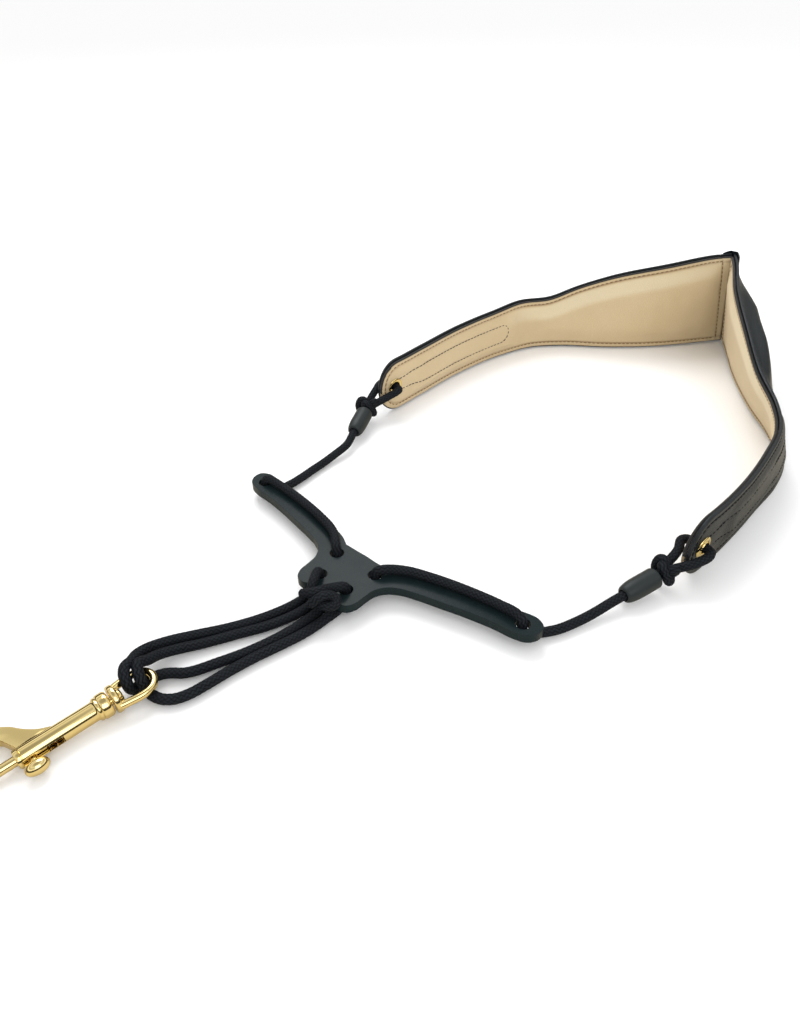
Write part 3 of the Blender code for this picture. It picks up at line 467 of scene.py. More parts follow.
class PadHalf:
    def __init__(self, side, stations):
        self.side = side
        self.stations = np.asarray(stations, float)
        self.knots = chainLength(self.stations[:, :2])
        self.length = self.knots[-1]
        places = np.linspace(0, self.length, pad["tableSteps"])
        self.table = smoothCurve(self.knots, self.stations, places)
        for place, width, lift in edgeWaves if side > 0 else ():
            self.table[:, 2] += lift * np.exp(-((places - place) / width)**2)

    def station(self, along):
        at = min(max(along / self.length, 0.0), 1.0) * (pad["tableSteps"] - 1)
        low = min(int(at), pad["tableSteps"] - 2)
        return self.table[low] + (self.table[low + 1] - self.table[low]) * (at - low)

    def height(self, along):
        x, y, top, leanX, leanY = self.station(along)
        return math.sqrt((top - pad["footZ"])**2 + leanX**2 + leanY**2)

    def middle(self, along, up):
        x, y, top, leanX, leanY = self.station(along)
        return Vector((x + leanX * up, y + leanY * up, pad["footZ"] + (top - pad["footZ"]) * up))

    def outward(self, along, up):
        ahead = self.middle(along + 1, up) - self.middle(along - 1, up)
        rise = self.middle(along, 1) - self.middle(along, 0)
        return ahead.cross(rise).normalized() * self.side

    def narrow(self, along):
        into = max(along - (self.length - pad["tipRound"]), 0.0) / pad["tipRound"]
        return math.sqrt(max(1 - into**2, 0.0))

    def point(self, along, up, out):
        return self.middle(along, up) + self.outward(along, up) * out

    def padding(self, along, up, ends):
        height = self.height(along)
        seamRise, end, endRise = ends
        return (swell(along - pad["margin"], seamRise) * swell(end - along, endRise)
                * swell(up * height - pad["margin"], pad["rise"])
                * swell((1 - up) * height - pad["margin"], pad["rise"]))

    def stripRoom(self, along, up):
        height = self.height(along)
        ends = swell(along - pad["strip"][0] + 12, 8) * swell(pad["strip"][1] + 12 - along, 8)
        return (ends * swell(up * height - pad["margin"], 3) * swell((1 - up) * height - pad["margin"], 3))

    def layers(self, along, up):
        room = pad["stripRoom"] * self.stripRoom(along, up)
        return (pad["gap"] / 2 + pad["puffOut"] * self.padding(along, up, pad["outEnds"]) + room,
                pad["gap"] / 2 + pad["puffIn"] * self.padding(along, up, pad["inEnds"]) + room)

    def toEdge(self, along, up):
        # distance in from the sewn outline, for a place that is already drawn in at the tip
        height = self.height(along)
        sides = min(up, 1 - up) * height
        into = along - (self.length - pad["tipRound"])
        if into <= 0:
            return sides
        across = (up - 0.5) * 2
        return min(sides, (1 - math.sqrt(min((into / pad["tipRound"])**2 + across**2, 1.0))) * pad["tipRound"])

    def edgeLine(self, inset, start):
        # the outline an inset in, from the seam along the foot, round the tip and back along the top
        line = []
        last = self.length - pad["tipRound"]
        for i in range(int((last - start) / 1.5) + 1):
            along = start + (last - start) * i / int((last - start) / 1.5)
            line.append((along, inset / self.height(along)))
        half = self.height(self.length) / 2
        tip = []
        for i in range(1, 24):
            turn = math.pi * i / 24
            tip.append((last + (pad["tipRound"] - inset) * math.sin(turn),
                        0.5 - (half - inset) / (2 * half) * math.cos(turn)))
        back = [(along, 1 - up) for along, up in reversed(line)]
        return line + tip + back


halves = {"left": PadHalf(1, leftStations), "right": PadHalf(-1, rightStations)}


def strapLoop(half):
    # the long stitched loop on the strap end, open at the eyelet
    line = []
    start, end, wide = half.length - pad["eyeletBack"] - 2.5, pad["loopEnd"], pad["loopHalf"]
    for i in range(61):
        along = start - (start - end) * i / 60
        line.append((along, 0.5 - (3.0 + 1.7 * swell(start - along, 22)) / pad["tall"]))
    for i in range(1, 12):
        turn = math.pi * i / 12
        line.append((end - wide * math.sin(turn), 0.5 - wide / pad["tall"] * math.cos(turn)))
    return line + [(along, 1 - up) for along, up in reversed(line[:61])]


def leatherSheet(name, side, outerSide):
    # outer cover or inner lining: a hide with rolled edges, sewn grooves and creases
    half = halves[side]
    start = pad["coverStart"] if outerSide else pad["liningStart"]
    thick = pad["cover"] if outerSide else pad["lining"]
    last = half.length - pad["tipRound"]
    columns = list(np.linspace(start, 12, 14)) + list(np.linspace(13, last, 175))
    columns += [last + pad["tipRound"] * math.sin(math.pi / 2 * i / 30) for i in range(1, 30)] + [half.length - 0.02]
    margin = (0.0, 0.12, 0.35, 0.7, 1.2, 1.8, 2.25, 2.7, 3.15, 3.7, 4.4)
    inner = 22
    loop = np.array([(a, (u - 0.5) * pad["tall"]) for a, u in strapLoop(half)])
    points, rims, crownHighlights, stitchGrooveShades, dyes, uvs = [], [], [], [], [], []
    for along in columns:
        height = half.height(along)
        rows = [m / height for m in margin]
        rows += [margin[-1] / height + (1 - 2 * margin[-1] / height) * (i + 1) / (inner + 1) for i in range(inner)]
        rows += [1 - m / height for m in reversed(margin)]
        narrow = half.narrow(along)
        for up in rows:
            real = 0.5 + (up - 0.5) * narrow
            spread = 0.45 if outerSide else -0.5
            shown = 0.5 + (up - 0.5) * narrow * (1 + 2 * spread / height)
            edge = half.toEdge(along, real)
            away = abs(edge - pad["stitchInset"])
            groove = 0.28 * math.exp(-(away / 0.55)**2)
            if along > 126:
                gap = np.sqrt(((loop - (along, (real - 0.5) * pad["tall"]))**2).sum(1).min())
                groove = max(groove, 0.24 * math.exp(-(gap / 0.6)**2))
            seamGap = along - (9.5 if outerSide else 5.6 + 3.2 * real)
            groove = max(groove, 0.3 * math.exp(-(seamGap / 0.6)**2))
            outSpace, inSpace = half.layers(along, real)
            spot = Vector((along * 0.045, real * height * 0.06, 3.7 if side == "left" else 9.1))
            crease = noise.noise(spot) * 0.5 + noise.noise(spot * 3.1) * 0.16
            crease *= swell(edge - 3.0, 6.0)
            if not outerSide:
                crease *= 0.7 + 1.9 * math.exp(-((along - 118) / 13)**2)
            roll = 1.0 if edge >= 0.5 else math.sqrt(max(1 - ((0.5 - edge) / 0.5)**2, 0.0))
            face = (thick - groove + crease) * (0.45 + 0.55 * roll)
            if outerSide:
                points.append((half.point(along, shown, outSpace + face), half.point(along, shown, outSpace)))
            else:
                behind = along if along > start + 0.01 else 1.0
                points.append((half.point(along, shown, -inSpace - face), half.point(behind, shown, -inSpace)))
            dyes.append(1.0 if edge < 0.5 and real > 0.45 and not outerSide else 0.0)
            rims.append(math.exp(-(edge / 1.2)**2) * 0.6)
            # painted shade: darkening along the stitch lines and the seam, the shadow in their grooves, weaker on the
            # strap end and at the very edge
            stitchGrooveShade = math.exp(-(away / 0.42)**2) * (1.0 - 0.45 * swell(along - 108, 16))
            stitchGrooveShades.append(max(stitchGrooveShade, math.exp(-(seamGap / 0.7)**2)) * (1 if 1.5 < edge else 0.4))
            # painted highlight: a lighter band under the top edge where the padded shoulder faces the light, and
            # painted lightening near the seam that offsets the shade in that corner
            topHighlightBand = swell((1 - real) * height - 2.9, 1.4) * (1 - swell((1 - real) * height - 8.5, 4.5))
            topHighlightBand *= swell(along - 6, 8) * swell(140 - along, 30)
            crownHighlights.append(max(topHighlightBand, 0.85 * math.exp(-(along / 24)**2)))
            uvs.append((along * 0.001, real * height * 0.001))
    rowCount = 2 * len(margin) + inner
    count = len(columns) * rowCount
    flip = (half.side > 0) != outerSide
    piece = meshPiece(name, [toMetres(p[0]) for p in points] + [toMetres(p[1]) for p in points],
                      slabFaces(len(columns), rowCount, flip))
    layer = piece.data.uv_layers.new(name="flat")
    both = uvs + uvs
    for polygon in piece.data.polygons:
        for corner in polygon.loop_indices:
            layer.data[corner].uv = both[piece.data.loops[corner].vertex_index]
    for label, values in (("rim", rims + [0.6] * count), ("crownHighlight", crownHighlights + [0.0] * count),
                          ("stitchGrooveShade", stitchGrooveShades + [0.0] * count), ("dye", dyes + dyes)):
        addAttribute(piece, label, values)
    return piece


def foamSlab(name, side):
    # the padding itself: a closed slab that fills most of the room between the leathers
    half = halves[side]
    columns, ups = np.linspace(10, 108, 62), np.linspace(0.1, 0.9, 24)
    points = []
    for sign in (1, -1):
        for along in columns:
            for up in ups:
                outSpace, inSpace = half.layers(along, up)
                room = outSpace if sign > 0 else -inSpace
                points.append(toMetres(half.point(along, up, pad["foamFill"] * room)))
    return facesOut(meshPiece(name, points, slabFaces(len(columns), len(ups))))


def punchEyelet(piece, half):
    # the eyelet's hole, cut through the leather
    at = half.length - pad["eyeletBack"]
    centre = toMetres(half.point(at, 0.5, 0.0))
    deselectAll()
    bpy.ops.mesh.primitive_cylinder_add(vertices=40, radius=pad["punch"] * 0.001, depth=0.012, location=centre,
                                        rotation=half.outward(at, 0.5).to_track_quat("Z", "Y").to_euler())
    cutWith(piece, bpy.context.object)


def stitchRow(name, side, outerSide, lines, finish):
    # one short thread capsule for each stitch, dipping into its two holes
    half = halves[side]
    thick = pad["cover"] if outerSide else pad["lining"]
    rings, around = 6, 6
    points, faces = [], []
    for line in lines:
        def place(distance, run, track):
            along, up = np.interp(distance, run, track[:, 0]), np.interp(distance, run, track[:, 1])
            outSpace, inSpace = half.layers(along, up)
            lift = (outSpace if outerSide else inSpace) + thick - 0.16
            sign = 1 if outerSide else -1
            return half.point(along, up, lift * sign), half.outward(along, up) * sign
        track = np.array(line)
        real = np.array([half.middle(a, u) for a, u in line])
        run = chainLength(real)
        stitches = int(run[-1] / pad["stitchPitch"])
        for k in range(stitches):
            first = run[-1] * (k + 0.06) / stitches
            final = run[-1] * (k + 0.80) / stitches
            base = len(points)
            a, up = place(first, run, track)
            b, _ = place(final, run, track)
            ahead = (b - a).normalized()
            across = ahead.cross(up).normalized()
            for i in range(rings):
                share = i / (rings - 1)
                spot, up = place(first + (final - first) * share, run, track)
                bulge = math.sin(math.pi * min(max(share, 0.06), 0.94))
                radius = 0.11 + 0.13 * bulge
                centre = spot + up * (0.24 * bulge - 0.10)
                for j in range(around):
                    turn = 2 * math.pi * j / around
                    points.append(toMetres(centre + across * radius * math.cos(turn) + up * radius * math.sin(turn)))
            faces += tubeFaces(rings, around, base)
    return dress(facesOut(meshPiece(name, points, faces)), finish, padBodies[side])


padBodies = {"left": "left_pad", "right": "right_pad"}
for side, half in halves.items():
    for name, outerSide, finish, node in (("CoverLeather", True, "blackLeather", "_cover"),
                                          ("LiningLeather", False, "tanLeather", "_lining")):
        piece = leatherSheet(side + name, side, outerSide)
        punchEyelet(piece, half)
        dress(piece, finish, padBodies[side], [side + node])
    dress(foamSlab(side + "PaddingFoam", side), "foam", padBodies[side], [side + "_foam"])
    outline = half.edgeLine(pad["stitchInset"], 8.0)
    seamUps = (pad["stitchInset"] / half.height(6), 1 - pad["stitchInset"] / half.height(6))
    seamLine = [(5.6 + 3.2 * u, u) for u in np.linspace(seamUps[0], seamUps[1], 21)]
    spineLine = [(9.5, u) for u in np.linspace(seamUps[0], seamUps[1], 21)]
    loopLine = strapLoop(half)
    stitchRow(side + "LiningEdgeStitches", side, False, [outline, seamLine], "edgeThread")
    stitchRow(side + "LiningLoopStitches", side, False, [loopLine], "darkThread")
    stitchRow(side + "CoverStitches", side, True, [outline, spineLine, loopLine], "blackThread")
print("neck pad made")


def seamSpine():
    # leather strip folded over the outside of the seam
    ups = np.linspace(0.0, 1.0, 44)
    across = [("right", a) for a in (6.6, 6.5, 5.2, 3.8, 2.4, 1.2)] + [("right", 0.3), ("left", 0.3)]
    across += [("left", a) for a in (1.2, 2.4, 3.8, 5.2, 6.5, 6.6)]
    outer, inner = [], []
    for name, along in across:
        half = halves[name]
        peak = 0.009 + 0.022 * (1 - (along / 6.6)**2)
        for share in ups:
            up = share * (1 + peak)
            lift = half.layers(along, up)[0] + pad["cover"] + (0.3 if name == "left" else 0.3 + 0.035 * along)
            edge = min(6.6 - along, (1 + peak - up) * 50, up * 50)
            thick = 0.9 * math.sqrt(max(1 - (max(0.5 - edge, 0) / 0.5)**2, 0.04))
            thick -= 0.25 * math.exp(-((along - 4.6) / 0.5)**2)
            outer.append(half.point(along, up, lift + thick))
            inner.append(half.point(along, up, lift))
    piece = meshPiece("seamSpineLeather", [toMetres(p) for p in outer + inner], slabFaces(len(across), len(ups), True))
    facesOut(piece)
    smoothBy(piece, 50)
    addAttribute(piece, "rim", [0.1] * len(outer + inner))
    dress(piece, "blackLeather", "left_pad", ["seam_spine"])


seamSpine()


# ---- cords
cordSize = {"radius": 1.75, "strands": 8, "diamond": 1.7, "relief": 0.17, "around": 48, "step": 0.28,
            "tableZ": 2.2, "bend": 2.4}


def directions(line):
    tangents = np.gradient(line, axis=0)
    return tangents / np.linalg.norm(tangents, axis=1)[:, None]


def cordTube(name, route, radius=cordSize["radius"], capRound=False):
    # a braided cord: its two sets of strands pass over and under each other round the tube
    line = evenly(route, cordSize["step"])
    count, around = len(line), cordSize["around"]
    run, tangents = chainLength(line), directions(line)
    side = np.cross(tangents[0], (0.0, 0.0, 1.0))
    if np.linalg.norm(side) < 0.1:
        side = np.cross(tangents[0], (0.0, 1.0, 0.0))
    side /= np.linalg.norm(side)
    theta = np.arange(around) * 2 * math.pi / around
    rings, weaves = [], []
    for i in range(count):
        side = side - tangents[i] * side.dot(tangents[i])
        side /= np.linalg.norm(side)
        other = np.cross(tangents[i], side)
        lean = math.pi * run[i] / cordSize["diamond"]
        one = cordSize["strands"] / 2 * theta + lean
        two = cordSize["strands"] / 2 * theta - lean
        over = (np.sin(one) * np.sin(two)) > 0
        weave = np.sqrt(np.where(over, np.abs(np.sin(one)), np.abs(np.sin(two))))
        size = radius - cordSize["relief"] * (1 - weave)
        if capRound:
            tip = min(run[i], run[-1] - run[i])
            size = size * math.sqrt(max(1 - (1 - min(tip / 1.2, 1.0))**2, 0.02))
        rings.append(line[i] + (np.cos(theta) * size)[:, None] * side + (np.sin(theta) * size)[:, None] * other)
        weaves.append(weave)
    piece = meshPiece(name, [toMetres(p) for p in np.concatenate(rings)], tubeFaces(count, around))
    addAttribute(piece, "weave", np.concatenate(weaves))
    path = [tuple(toMetres(p)) for p in line[::4]]
    if (count - 1) % 4:
        path.append(tuple(toMetres(line[-1])))
    return piece, path, run[-1] * 0.001


def holeBend(hole, heading, inside, level, sign):
    # from inside a hole round the bend to the level where the cord lies; sign 1 leaves below, -1 above
    dx, dy = Vector(heading).normalized()
    bend = cordSize["bend"]
    part = bend * (1 - math.cos(math.pi / 4))
    return [(hole[0], hole[1], inside), (hole[0], hole[1], level + sign * bend),
            (hole[0] + dx * part, hole[1] + dy * part, level + sign * part),
            (hole[0] + dx * bend, hole[1] + dy * bend, level)]


def downHole(hole, heading, inside):
    return holeBend(hole, heading, inside, cordSize["tableZ"], 1)


def upHole(hole, heading, inside):
    return holeBend(hole, heading, inside, overPlate, -1)


snapAxes = {"end": Vector((-15.6, -74.0, 5.9)), "ahead": Vector((-0.15, -0.987, -0.058)).normalized()}
snapAxes["side"] = Vector((-snapAxes["ahead"].y, snapAxes["ahead"].x, 0)).normalized()
snapAxes["up"] = snapAxes["ahead"].cross(snapAxes["side"])


def snapPoint(along, side, up):
    return tuple(snapAxes["end"] + snapAxes["ahead"] * along + snapAxes["side"] * side + snapAxes["up"] * up)


yoke = {"low": 4.3, "thick": 3.5, "endHole": (61.1, 13.1), "innerHole": (9.1, 0.0), "lowerHole": (6.1, -11.8),
        "holeRadius": 2.55, "edge": 0.85}
midPlate = yoke["low"] + yoke["thick"] / 2
overPlate = yoke["low"] + yoke["thick"] + 0.5 + cordSize["radius"]
beads = {"left": ((-60.9, 65.4, 4.9), (-66.8, 80.4, 6.9)), "right": ((80.0, 49.6, 4.9), (84.7, 62.1, 6.5))}
knots = {"left": (-68.4, 84.4, 7.9), "right": (86.4, 66.5, 7.8)}
neckJoin = (74.6, 35.2, 2.75)


def layCord(name, route, node, body=None, bend=None):
    # bend: the two bodies a cord hangs between, and where it starts and ends following the second one; only its
    # presence is read, and then the cord's placement is baked into its mesh
    piece, path, length = cordTube(name, route)
    dress(piece, "cord", body, [node])
    if bend:
        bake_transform(piece)


def beadEntry(side, beyond=0.3):
    narrow, flat = Vector(beads[side][0]), Vector(beads[side][1])
    return tuple(flat + (flat - narrow).normalized() * beyond)


inside = midPlate - 0.2
leftRoute = [beadEntry("left"), beads["left"][0], (-58.3, 58.8, 4.0), (-58.2, 51.0, 2.9), (-58.3, 44.0, 2.2),
             (-58.1, 37.0, 2.2), (-57.8, 30.0, 2.2), (-58.0, 23.5, 2.2)]
leftRoute += list(reversed(downHole((-61.1, 13.1), (0.35, 1.0), inside)))
layCord("leftNeckCord", leftRoute, "left_neck_cord", None,
        ("left_pad", "yoke", (-60.9, 64.5, 2), (-60.9, 24.0, 2)))

upperRoute = [beadEntry("right", 2.2), beads["right"][0], (77.5, 43.0, 4.0), (75.7, 38.2, 3.1), neckJoin]
layCord("rightNeckCordUpper", upperRoute, "right_neck_cord_upper", None,
        ("right_pad", "left_pad", (79.6, 48.6, 3), neckJoin))

lowerRoute = [neckJoin, (74.46, 34.82, 2.72), (72.2, 29.4, 2.3), (69.2, 23.0, 2.2), (65.6, 18.2, 2.2)]
lowerRoute += list(reversed(downHole(yoke["endHole"], (0.6, 0.8), inside + 1.5)))
layCord("rightNeckCordLower", lowerRoute, "right_neck_cord_lower", None,
        ("left_pad", "yoke", (74.4, 34.8, 3), (66.5, 19.5, 3)))

armRoute = ((52.0, 13.4), (44.0, 12.6), (35.0, 11.2), (26.0, 9.2), (18.5, 6.9), (13.6, 4.1))
for side, sign in (("left", -1), ("right", 1)):
    route = upHole((sign * 61.1, 13.1), (-sign, 0.1), midPlate + 0.2)
    route += [(sign * x, y, overPlate) for x, y in armRoute]
    route += list(reversed(upHole((sign * 9.1, 0.0), (sign * 0.75, 0.65), midPlate + 0.2)))
    layCord(side + "ArmCord", route, side + "_arm_cord", "yoke")

# a place with two numbers lies on the table
leftLoop = downHole((-9.1, 0.0), (0.72, -0.7), inside)
leftLoop += [(-4.6, -4.6), (-2.4, -9.0), (-2.0, -14.0), (-2.0, -20.0), (-2.9, -27.0),
             (-6.0, -36.0), (-11.6, -46.1), (-17.1, -56.2, 2.4), (-20.8, -63.2, 3.2), (-21.9, -68.6, 4.8),
             (-20.6, -72.8, 7.2), snapPoint(3.3, -3.6, 3.6), snapPoint(4.8, -0.3, 1.6),
             snapPoint(4.8, 0.9, -0.8), snapPoint(4.6, 2.4, -3.0), snapPoint(3.6, 5.4, -3.7),
             (-9.0, -77.6), (-6.2, -75.3), (-4.2, -71.4), (-2.9, -65.6), (-1.5, -57.4),
             (0.6, -48.4), (3.2, -39.6), (5.4, -31.0), (6.3, -23.0)]
rightLoop = downHole((9.1, 0.0), (-0.72, -0.7), inside)
rightLoop += [(4.6, -4.6), (2.4, -9.0), (2.0, -14.0), (2.0, -20.0), (1.8, -28.0),
              (0.4, -37.0), (-2.6, -47.6), (-6.9, -57.8), (-11.4, -66.6),
              snapPoint(-2.2, -1.2, -3.7), snapPoint(1.2, -2.3, -3.6), snapPoint(5.0, -2.4, -3.5),
              snapPoint(7.2, -1.5, -2.8), snapPoint(8.3, -1.1, -1.2), snapPoint(8.6, -1.0, 0.6),
              snapPoint(8.5, -1.6, 2.4), snapPoint(8.1, -3.0, 3.6), snapPoint(6.9, -4.8, 4.1),
              (-23.0, -77.2, 8.6), (-25.2, -73.8, 7.2), (-26.0, -70.0, 5.9), (-25.8, -66.2, 4.7),
              (-24.5, -61.6, 3.7), (-21.9, -56.4, 3.0), (-14.2, -43.9, 2.5), (-9.4, -33.4),
              (-6.7, -24.6)]
for side, sign, route in (("left", 1, leftLoop), ("right", -1, rightLoop)):
    hole = (sign * 6.1, -11.8)
    route += list(reversed(downHole(hole, (sign * 0.05, -1.0), yoke["low"] + 2.2)))
    route = [place if len(place) == 3 else (*place, cordSize["tableZ"]) for place in route]
    layCord(side + "HookLoopCord", route, side + "_hook_loop", None,
            ("yoke", "eye", (0, -21.0, 3), (0, -71.0, 3)))
print("cords made")


def knotCore(name, place, along, size, radius, body, replaces, turn=0.0):
    # the cord wound on itself in a three-lobed knot
    ahead = Vector(along).normalized()
    across = ahead.cross(Vector((0, 0, 1))).normalized()
    up = across.cross(ahead)
    route = []
    for i in range(73):
        t = 2 * math.pi * i / 72 + turn
        a, b, c = (math.sin(t) + 2 * math.sin(2 * t)) / 3, (math.cos(t) - 2 * math.cos(2 * t)) / 3, -math.sin(3 * t)
        route.append(Vector(place) + ahead * a * size[0] + across * b * size[1] + up * c * size[2])
    piece, _, _ = cordTube(name, [tuple(p) for p in route], radius)
    return dress(piece, "cord", body, replaces)


for side, half in halves.items():
    at = half.length - pad["eyeletBack"]
    centre = half.point(at, 0.5, 0.0)
    out = half.outward(at, 0.5)
    ahead = (half.middle(at + 1, 0.5) - half.middle(at - 1, 0.5)).normalized()
    knot = Vector(knots[side])
    part = cordSize["bend"] * (1 - math.cos(math.pi / 4))
    legs = []
    for sign, reach in ((1, 3.3), (-1, 3.1)):
        turnAt = centre + out * sign * reach
        legs.append([turnAt, turnAt + out * sign * (cordSize["bend"] - part) + ahead * part,
                     turnAt + out * sign * cordSize["bend"] + ahead * cordSize["bend"],
                     centre + out * sign * 4.2 + ahead * (7.5 if sign > 0 else 5.5) + Vector((0, 0, -1.4)),
                     knot + out * sign * 1.6 - (knot - centre).normalized() * 1.8 + Vector((0, 0, 0.2))])
    route = [tuple(p) for p in reversed(legs[0])] + [tuple(p) for p in legs[1]]
    knotPiece = knotCore(side + "EyeletKnot", knot, Vector(beads[side][1]) - Vector(beads[side][0]),
                         (2.3, 4.4, 2.6), 1.75, padBodies[side], [side + "_knot"], 0.5)
    layCord(side + "EyeletLoopCord", route, side + "_eyelet_loop", padBodies[side])

# the two hook loops' ends, tied together over the yoke's front edge
frontStrands = {
    "right": [(6.1, -11.8, 6.4), (6.3, -12.0, 9.0), (6.1, -13.7, 10.6), (4.8, -16.0, 11.0), (3.8, -18.3, 11.6),
              (3.4, -21.1, 12.6), (1.8, -23.3, 12.4), (-0.6, -24.2, 11.2), (-2.6, -24.8, 10.2)],
    "left": [(-6.1, -11.8, 6.4), (-6.0, -12.3, 9.0), (-5.2, -13.9, 10.6), (-3.7, -16.6, 10.9), (-2.3, -19.2, 10.4),
             (-1.0, -21.2, 9.2), (1.2, -22.5, 8.9), (4.7, -23.0, 9.1), (7.9, -22.5, 9.3), (9.5, -20.8, 9.6),
             (9.0, -19.2, 10.6), (7.0, -20.0, 11.8), (5.6, -22.4, 12.4), (4.3, -24.6, 11.2), (2.9, -26.3, 9.2)],
}
for side, route in frontStrands.items():
    strand, _, _ = cordTube(side + "KnotStrand", route, 1.7, True)
    dress(strand, "cord", "yoke", ["front_knot"] if side == "right" else ())
print("knots made")


# ---- turned pieces: eyelets, beads, hook
def ringPiece(name, spots, fill):
    deselectAll()
    bpy.ops.mesh.primitive_circle_add(vertices=len(spots), radius=1.0, fill_type=fill)
    piece = bpy.context.object
    piece.name = name
    piece.data.name = name
    for vertex, spot in zip(piece.data.vertices, spots):
        vertex.co = Vector(spot) * 0.001
    return piece


def turnedPiece(name, profile, matrix=Matrix.Identity(4), steps=64):
    # a closed profile of (radius, height) spun about Z, then put in its place
    piece = ringPiece(name, [(radius, 0.0, height) for radius, height in profile], "NOTHING")
    bpy.ops.object.mode_set(mode="EDIT")
    bpy.ops.mesh.select_all(action="SELECT")
    bpy.ops.mesh.spin(steps=steps, angle=2 * math.pi, center=(0, 0, 0), axis=(0, 0, 1))
    bpy.ops.mesh.select_all(action="SELECT")
    bpy.ops.mesh.remove_doubles(threshold=0.000002)
    bpy.ops.mesh.dissolve_degenerate(threshold=0.000002)
    bpy.ops.mesh.delete_loose()
    bpy.ops.mesh.select_all(action="SELECT")
    bpy.ops.mesh.normals_make_consistent(inside=False)
    bpy.ops.object.mode_set(mode="OBJECT")
    piece.data.transform(matrix)
    smoothBy(piece, 40)
    return piece


def facing(place, direction):
    turn = Vector(direction).to_track_quat("Z", "Y").to_matrix().to_4x4()
    return Matrix.Translation(toMetres(place)) @ turn


for side, half in halves.items():
    at = half.length - pad["eyeletBack"]
    seat = facing(half.point(at, 0.5, 0.0), half.outward(at, 0.5))
    outSpace, inSpace = half.layers(at, 0.5)
    outer, inner = outSpace + 1.4 + 0.25, -inSpace - 1.2 - 0.25
    eyelet = [(2.3, outer + 0.5), (2.42, outer + 0.78), (2.62, outer + 0.8), (2.75, outer + 0.6), (2.75, inner),
              (4.0, inner), (4.05, inner - 0.16), (3.7, inner - 0.45), (3.2, inner - 0.6), (2.7, inner - 0.52),
              (2.4, inner - 0.3), (2.3, inner)]
    washer = [(2.8, outer + 0.5), (3.3, outer + 0.52), (3.8, outer + 0.4), (4.15, outer + 0.14), (4.2, outer),
              (2.8, outer)]
    for name, profile, node in (("Eyelet", eyelet, "_eyelet"), ("EyeletWasher", washer, "_eyelet_washer")):
        dress(turnedPiece(side + name, profile, seat), "gold", padBodies[side], [side + node])
    narrow, flat = Vector(beads[side][0]), Vector(beads[side][1])
    profile = [(2.1, 14.4), (2.3, 14.5)]
    for step in range(13):
        turn = math.radians(90 - 7.5 * step)
        profile.append((2.55 + 1.3 * math.cos(turn), 8.0 + 6.4 * math.sin(turn)))
    profile += [(3.85, 1.0), (3.82, 0.6), (3.6, 0.2), (3.3, 0.0), (2.5, 0.0), (2.1, 0.3)]
    dress(turnedPiece(side + "CordBead", profile, facing(flat, narrow - flat)), "bead", side + "_bead",
          [side + "_bead"])
print("eyelets and beads made")


# ---- yoke
yokeHalf = ((0.0, 5.4), (9.6, 5.6), (13.0, 7.7), (20.0, 9.9), (30.0, 11.9), (42.0, 14.2), (53.0, 15.8), (59.0, 17.8),
            (64.2, 18.1), (67.2, 16.2), (67.4, 12.6), (65.2, 9.6), (61.0, 8.2), (54.0, 7.6), (44.0, 6.0), (34.0, 3.8),
            (26.0, 2.0), (20.2, 0.2), (16.2, -2.4), (13.9, -6.0), (13.3, -10.6), (13.0, -14.6), (11.4, -17.5),
            (8.4, -18.4), (4.4, -17.0), (0.0, -16.0))


def flatPlate(name, outline, thick, bottom, count):
    # a filled outline, drawn up to its thickness
    closed = list(outline) + [outline[0]]
    run = chainLength(closed)
    line = smoothCurve(run, closed, np.linspace(0, run[-1], count + 1))[:-1]
    piece = ringPiece(name, [(x, y, bottom) for x, y in line], "NGON")
    bpy.ops.object.mode_set(mode="EDIT")
    bpy.ops.mesh.select_all(action="SELECT")
    bpy.ops.mesh.extrude_region_move(TRANSFORM_OT_translate={"value": (0, 0, thick * 0.001)})
    return facesOut(piece)


def applyBevel(piece, width):
    rounding = piece.modifiers.new("rounding", "BEVEL")
    rounding.limit_method = "ANGLE"
    rounding.angle_limit = math.radians(50)
    rounding.width = width * 0.001
    rounding.segments = 5
    rounding.harden_normals = True
    pick(piece)
    bpy.ops.object.modifier_apply(modifier="rounding")


outline = (list(yokeHalf) + [(-x, y) for x, y in reversed(yokeHalf[1:-1])])[::-1]
plate = flatPlate("yokePlate", outline, yoke["thick"], yoke["low"], 260)
for hole in (yoke["endHole"], yoke["innerHole"], yoke["lowerHole"]):
    for sign in (-1, 1):
        deselectAll()
        bpy.ops.mesh.primitive_cylinder_add(vertices=48, radius=yoke["holeRadius"] * 0.001, depth=0.01,
                                            location=(sign * hole[0] * 0.001, hole[1] * 0.001, 0.006))
        cutWith(plate, bpy.context.object)
smoothBy(plate, 50)
applyBevel(plate, yoke["edge"])
plate.data.transform(Matrix.Translation(-origin * 0.001))
dress(plate, "yoke", "yoke", ["yoke_plate"])
print("yoke made")


# ---- bolt snap
snapMatrix = Matrix((snapAxes["side"], snapAxes["up"], snapAxes["ahead"])).transposed().to_4x4()
snapMatrix = Matrix.Translation(toMetres(snapAxes["end"])) @ snapMatrix
snap = {"slot": (30.2, 42.0), "slotWidth": 2.5, "knobAt": 39.4, "jawThick": 3.6}


def wireTube(name, route, wide, thick, around=28):
    # a round wire, a little flattened, along a route in the snap's own axes
    line = evenly(route, 0.35)
    theta = np.arange(around) * 2 * math.pi / around
    up = np.array((0.0, 1.0, 0.0))
    points = []
    for spot, ahead in zip(line, directions(line)):
        across = np.cross(ahead, up)
        points += [tuple((spot + across * math.cos(t) * wide + up * math.sin(t) * thick) * 0.001) for t in theta]
    return facesOut(meshPiece(name, points, tubeFaces(len(line), around)))


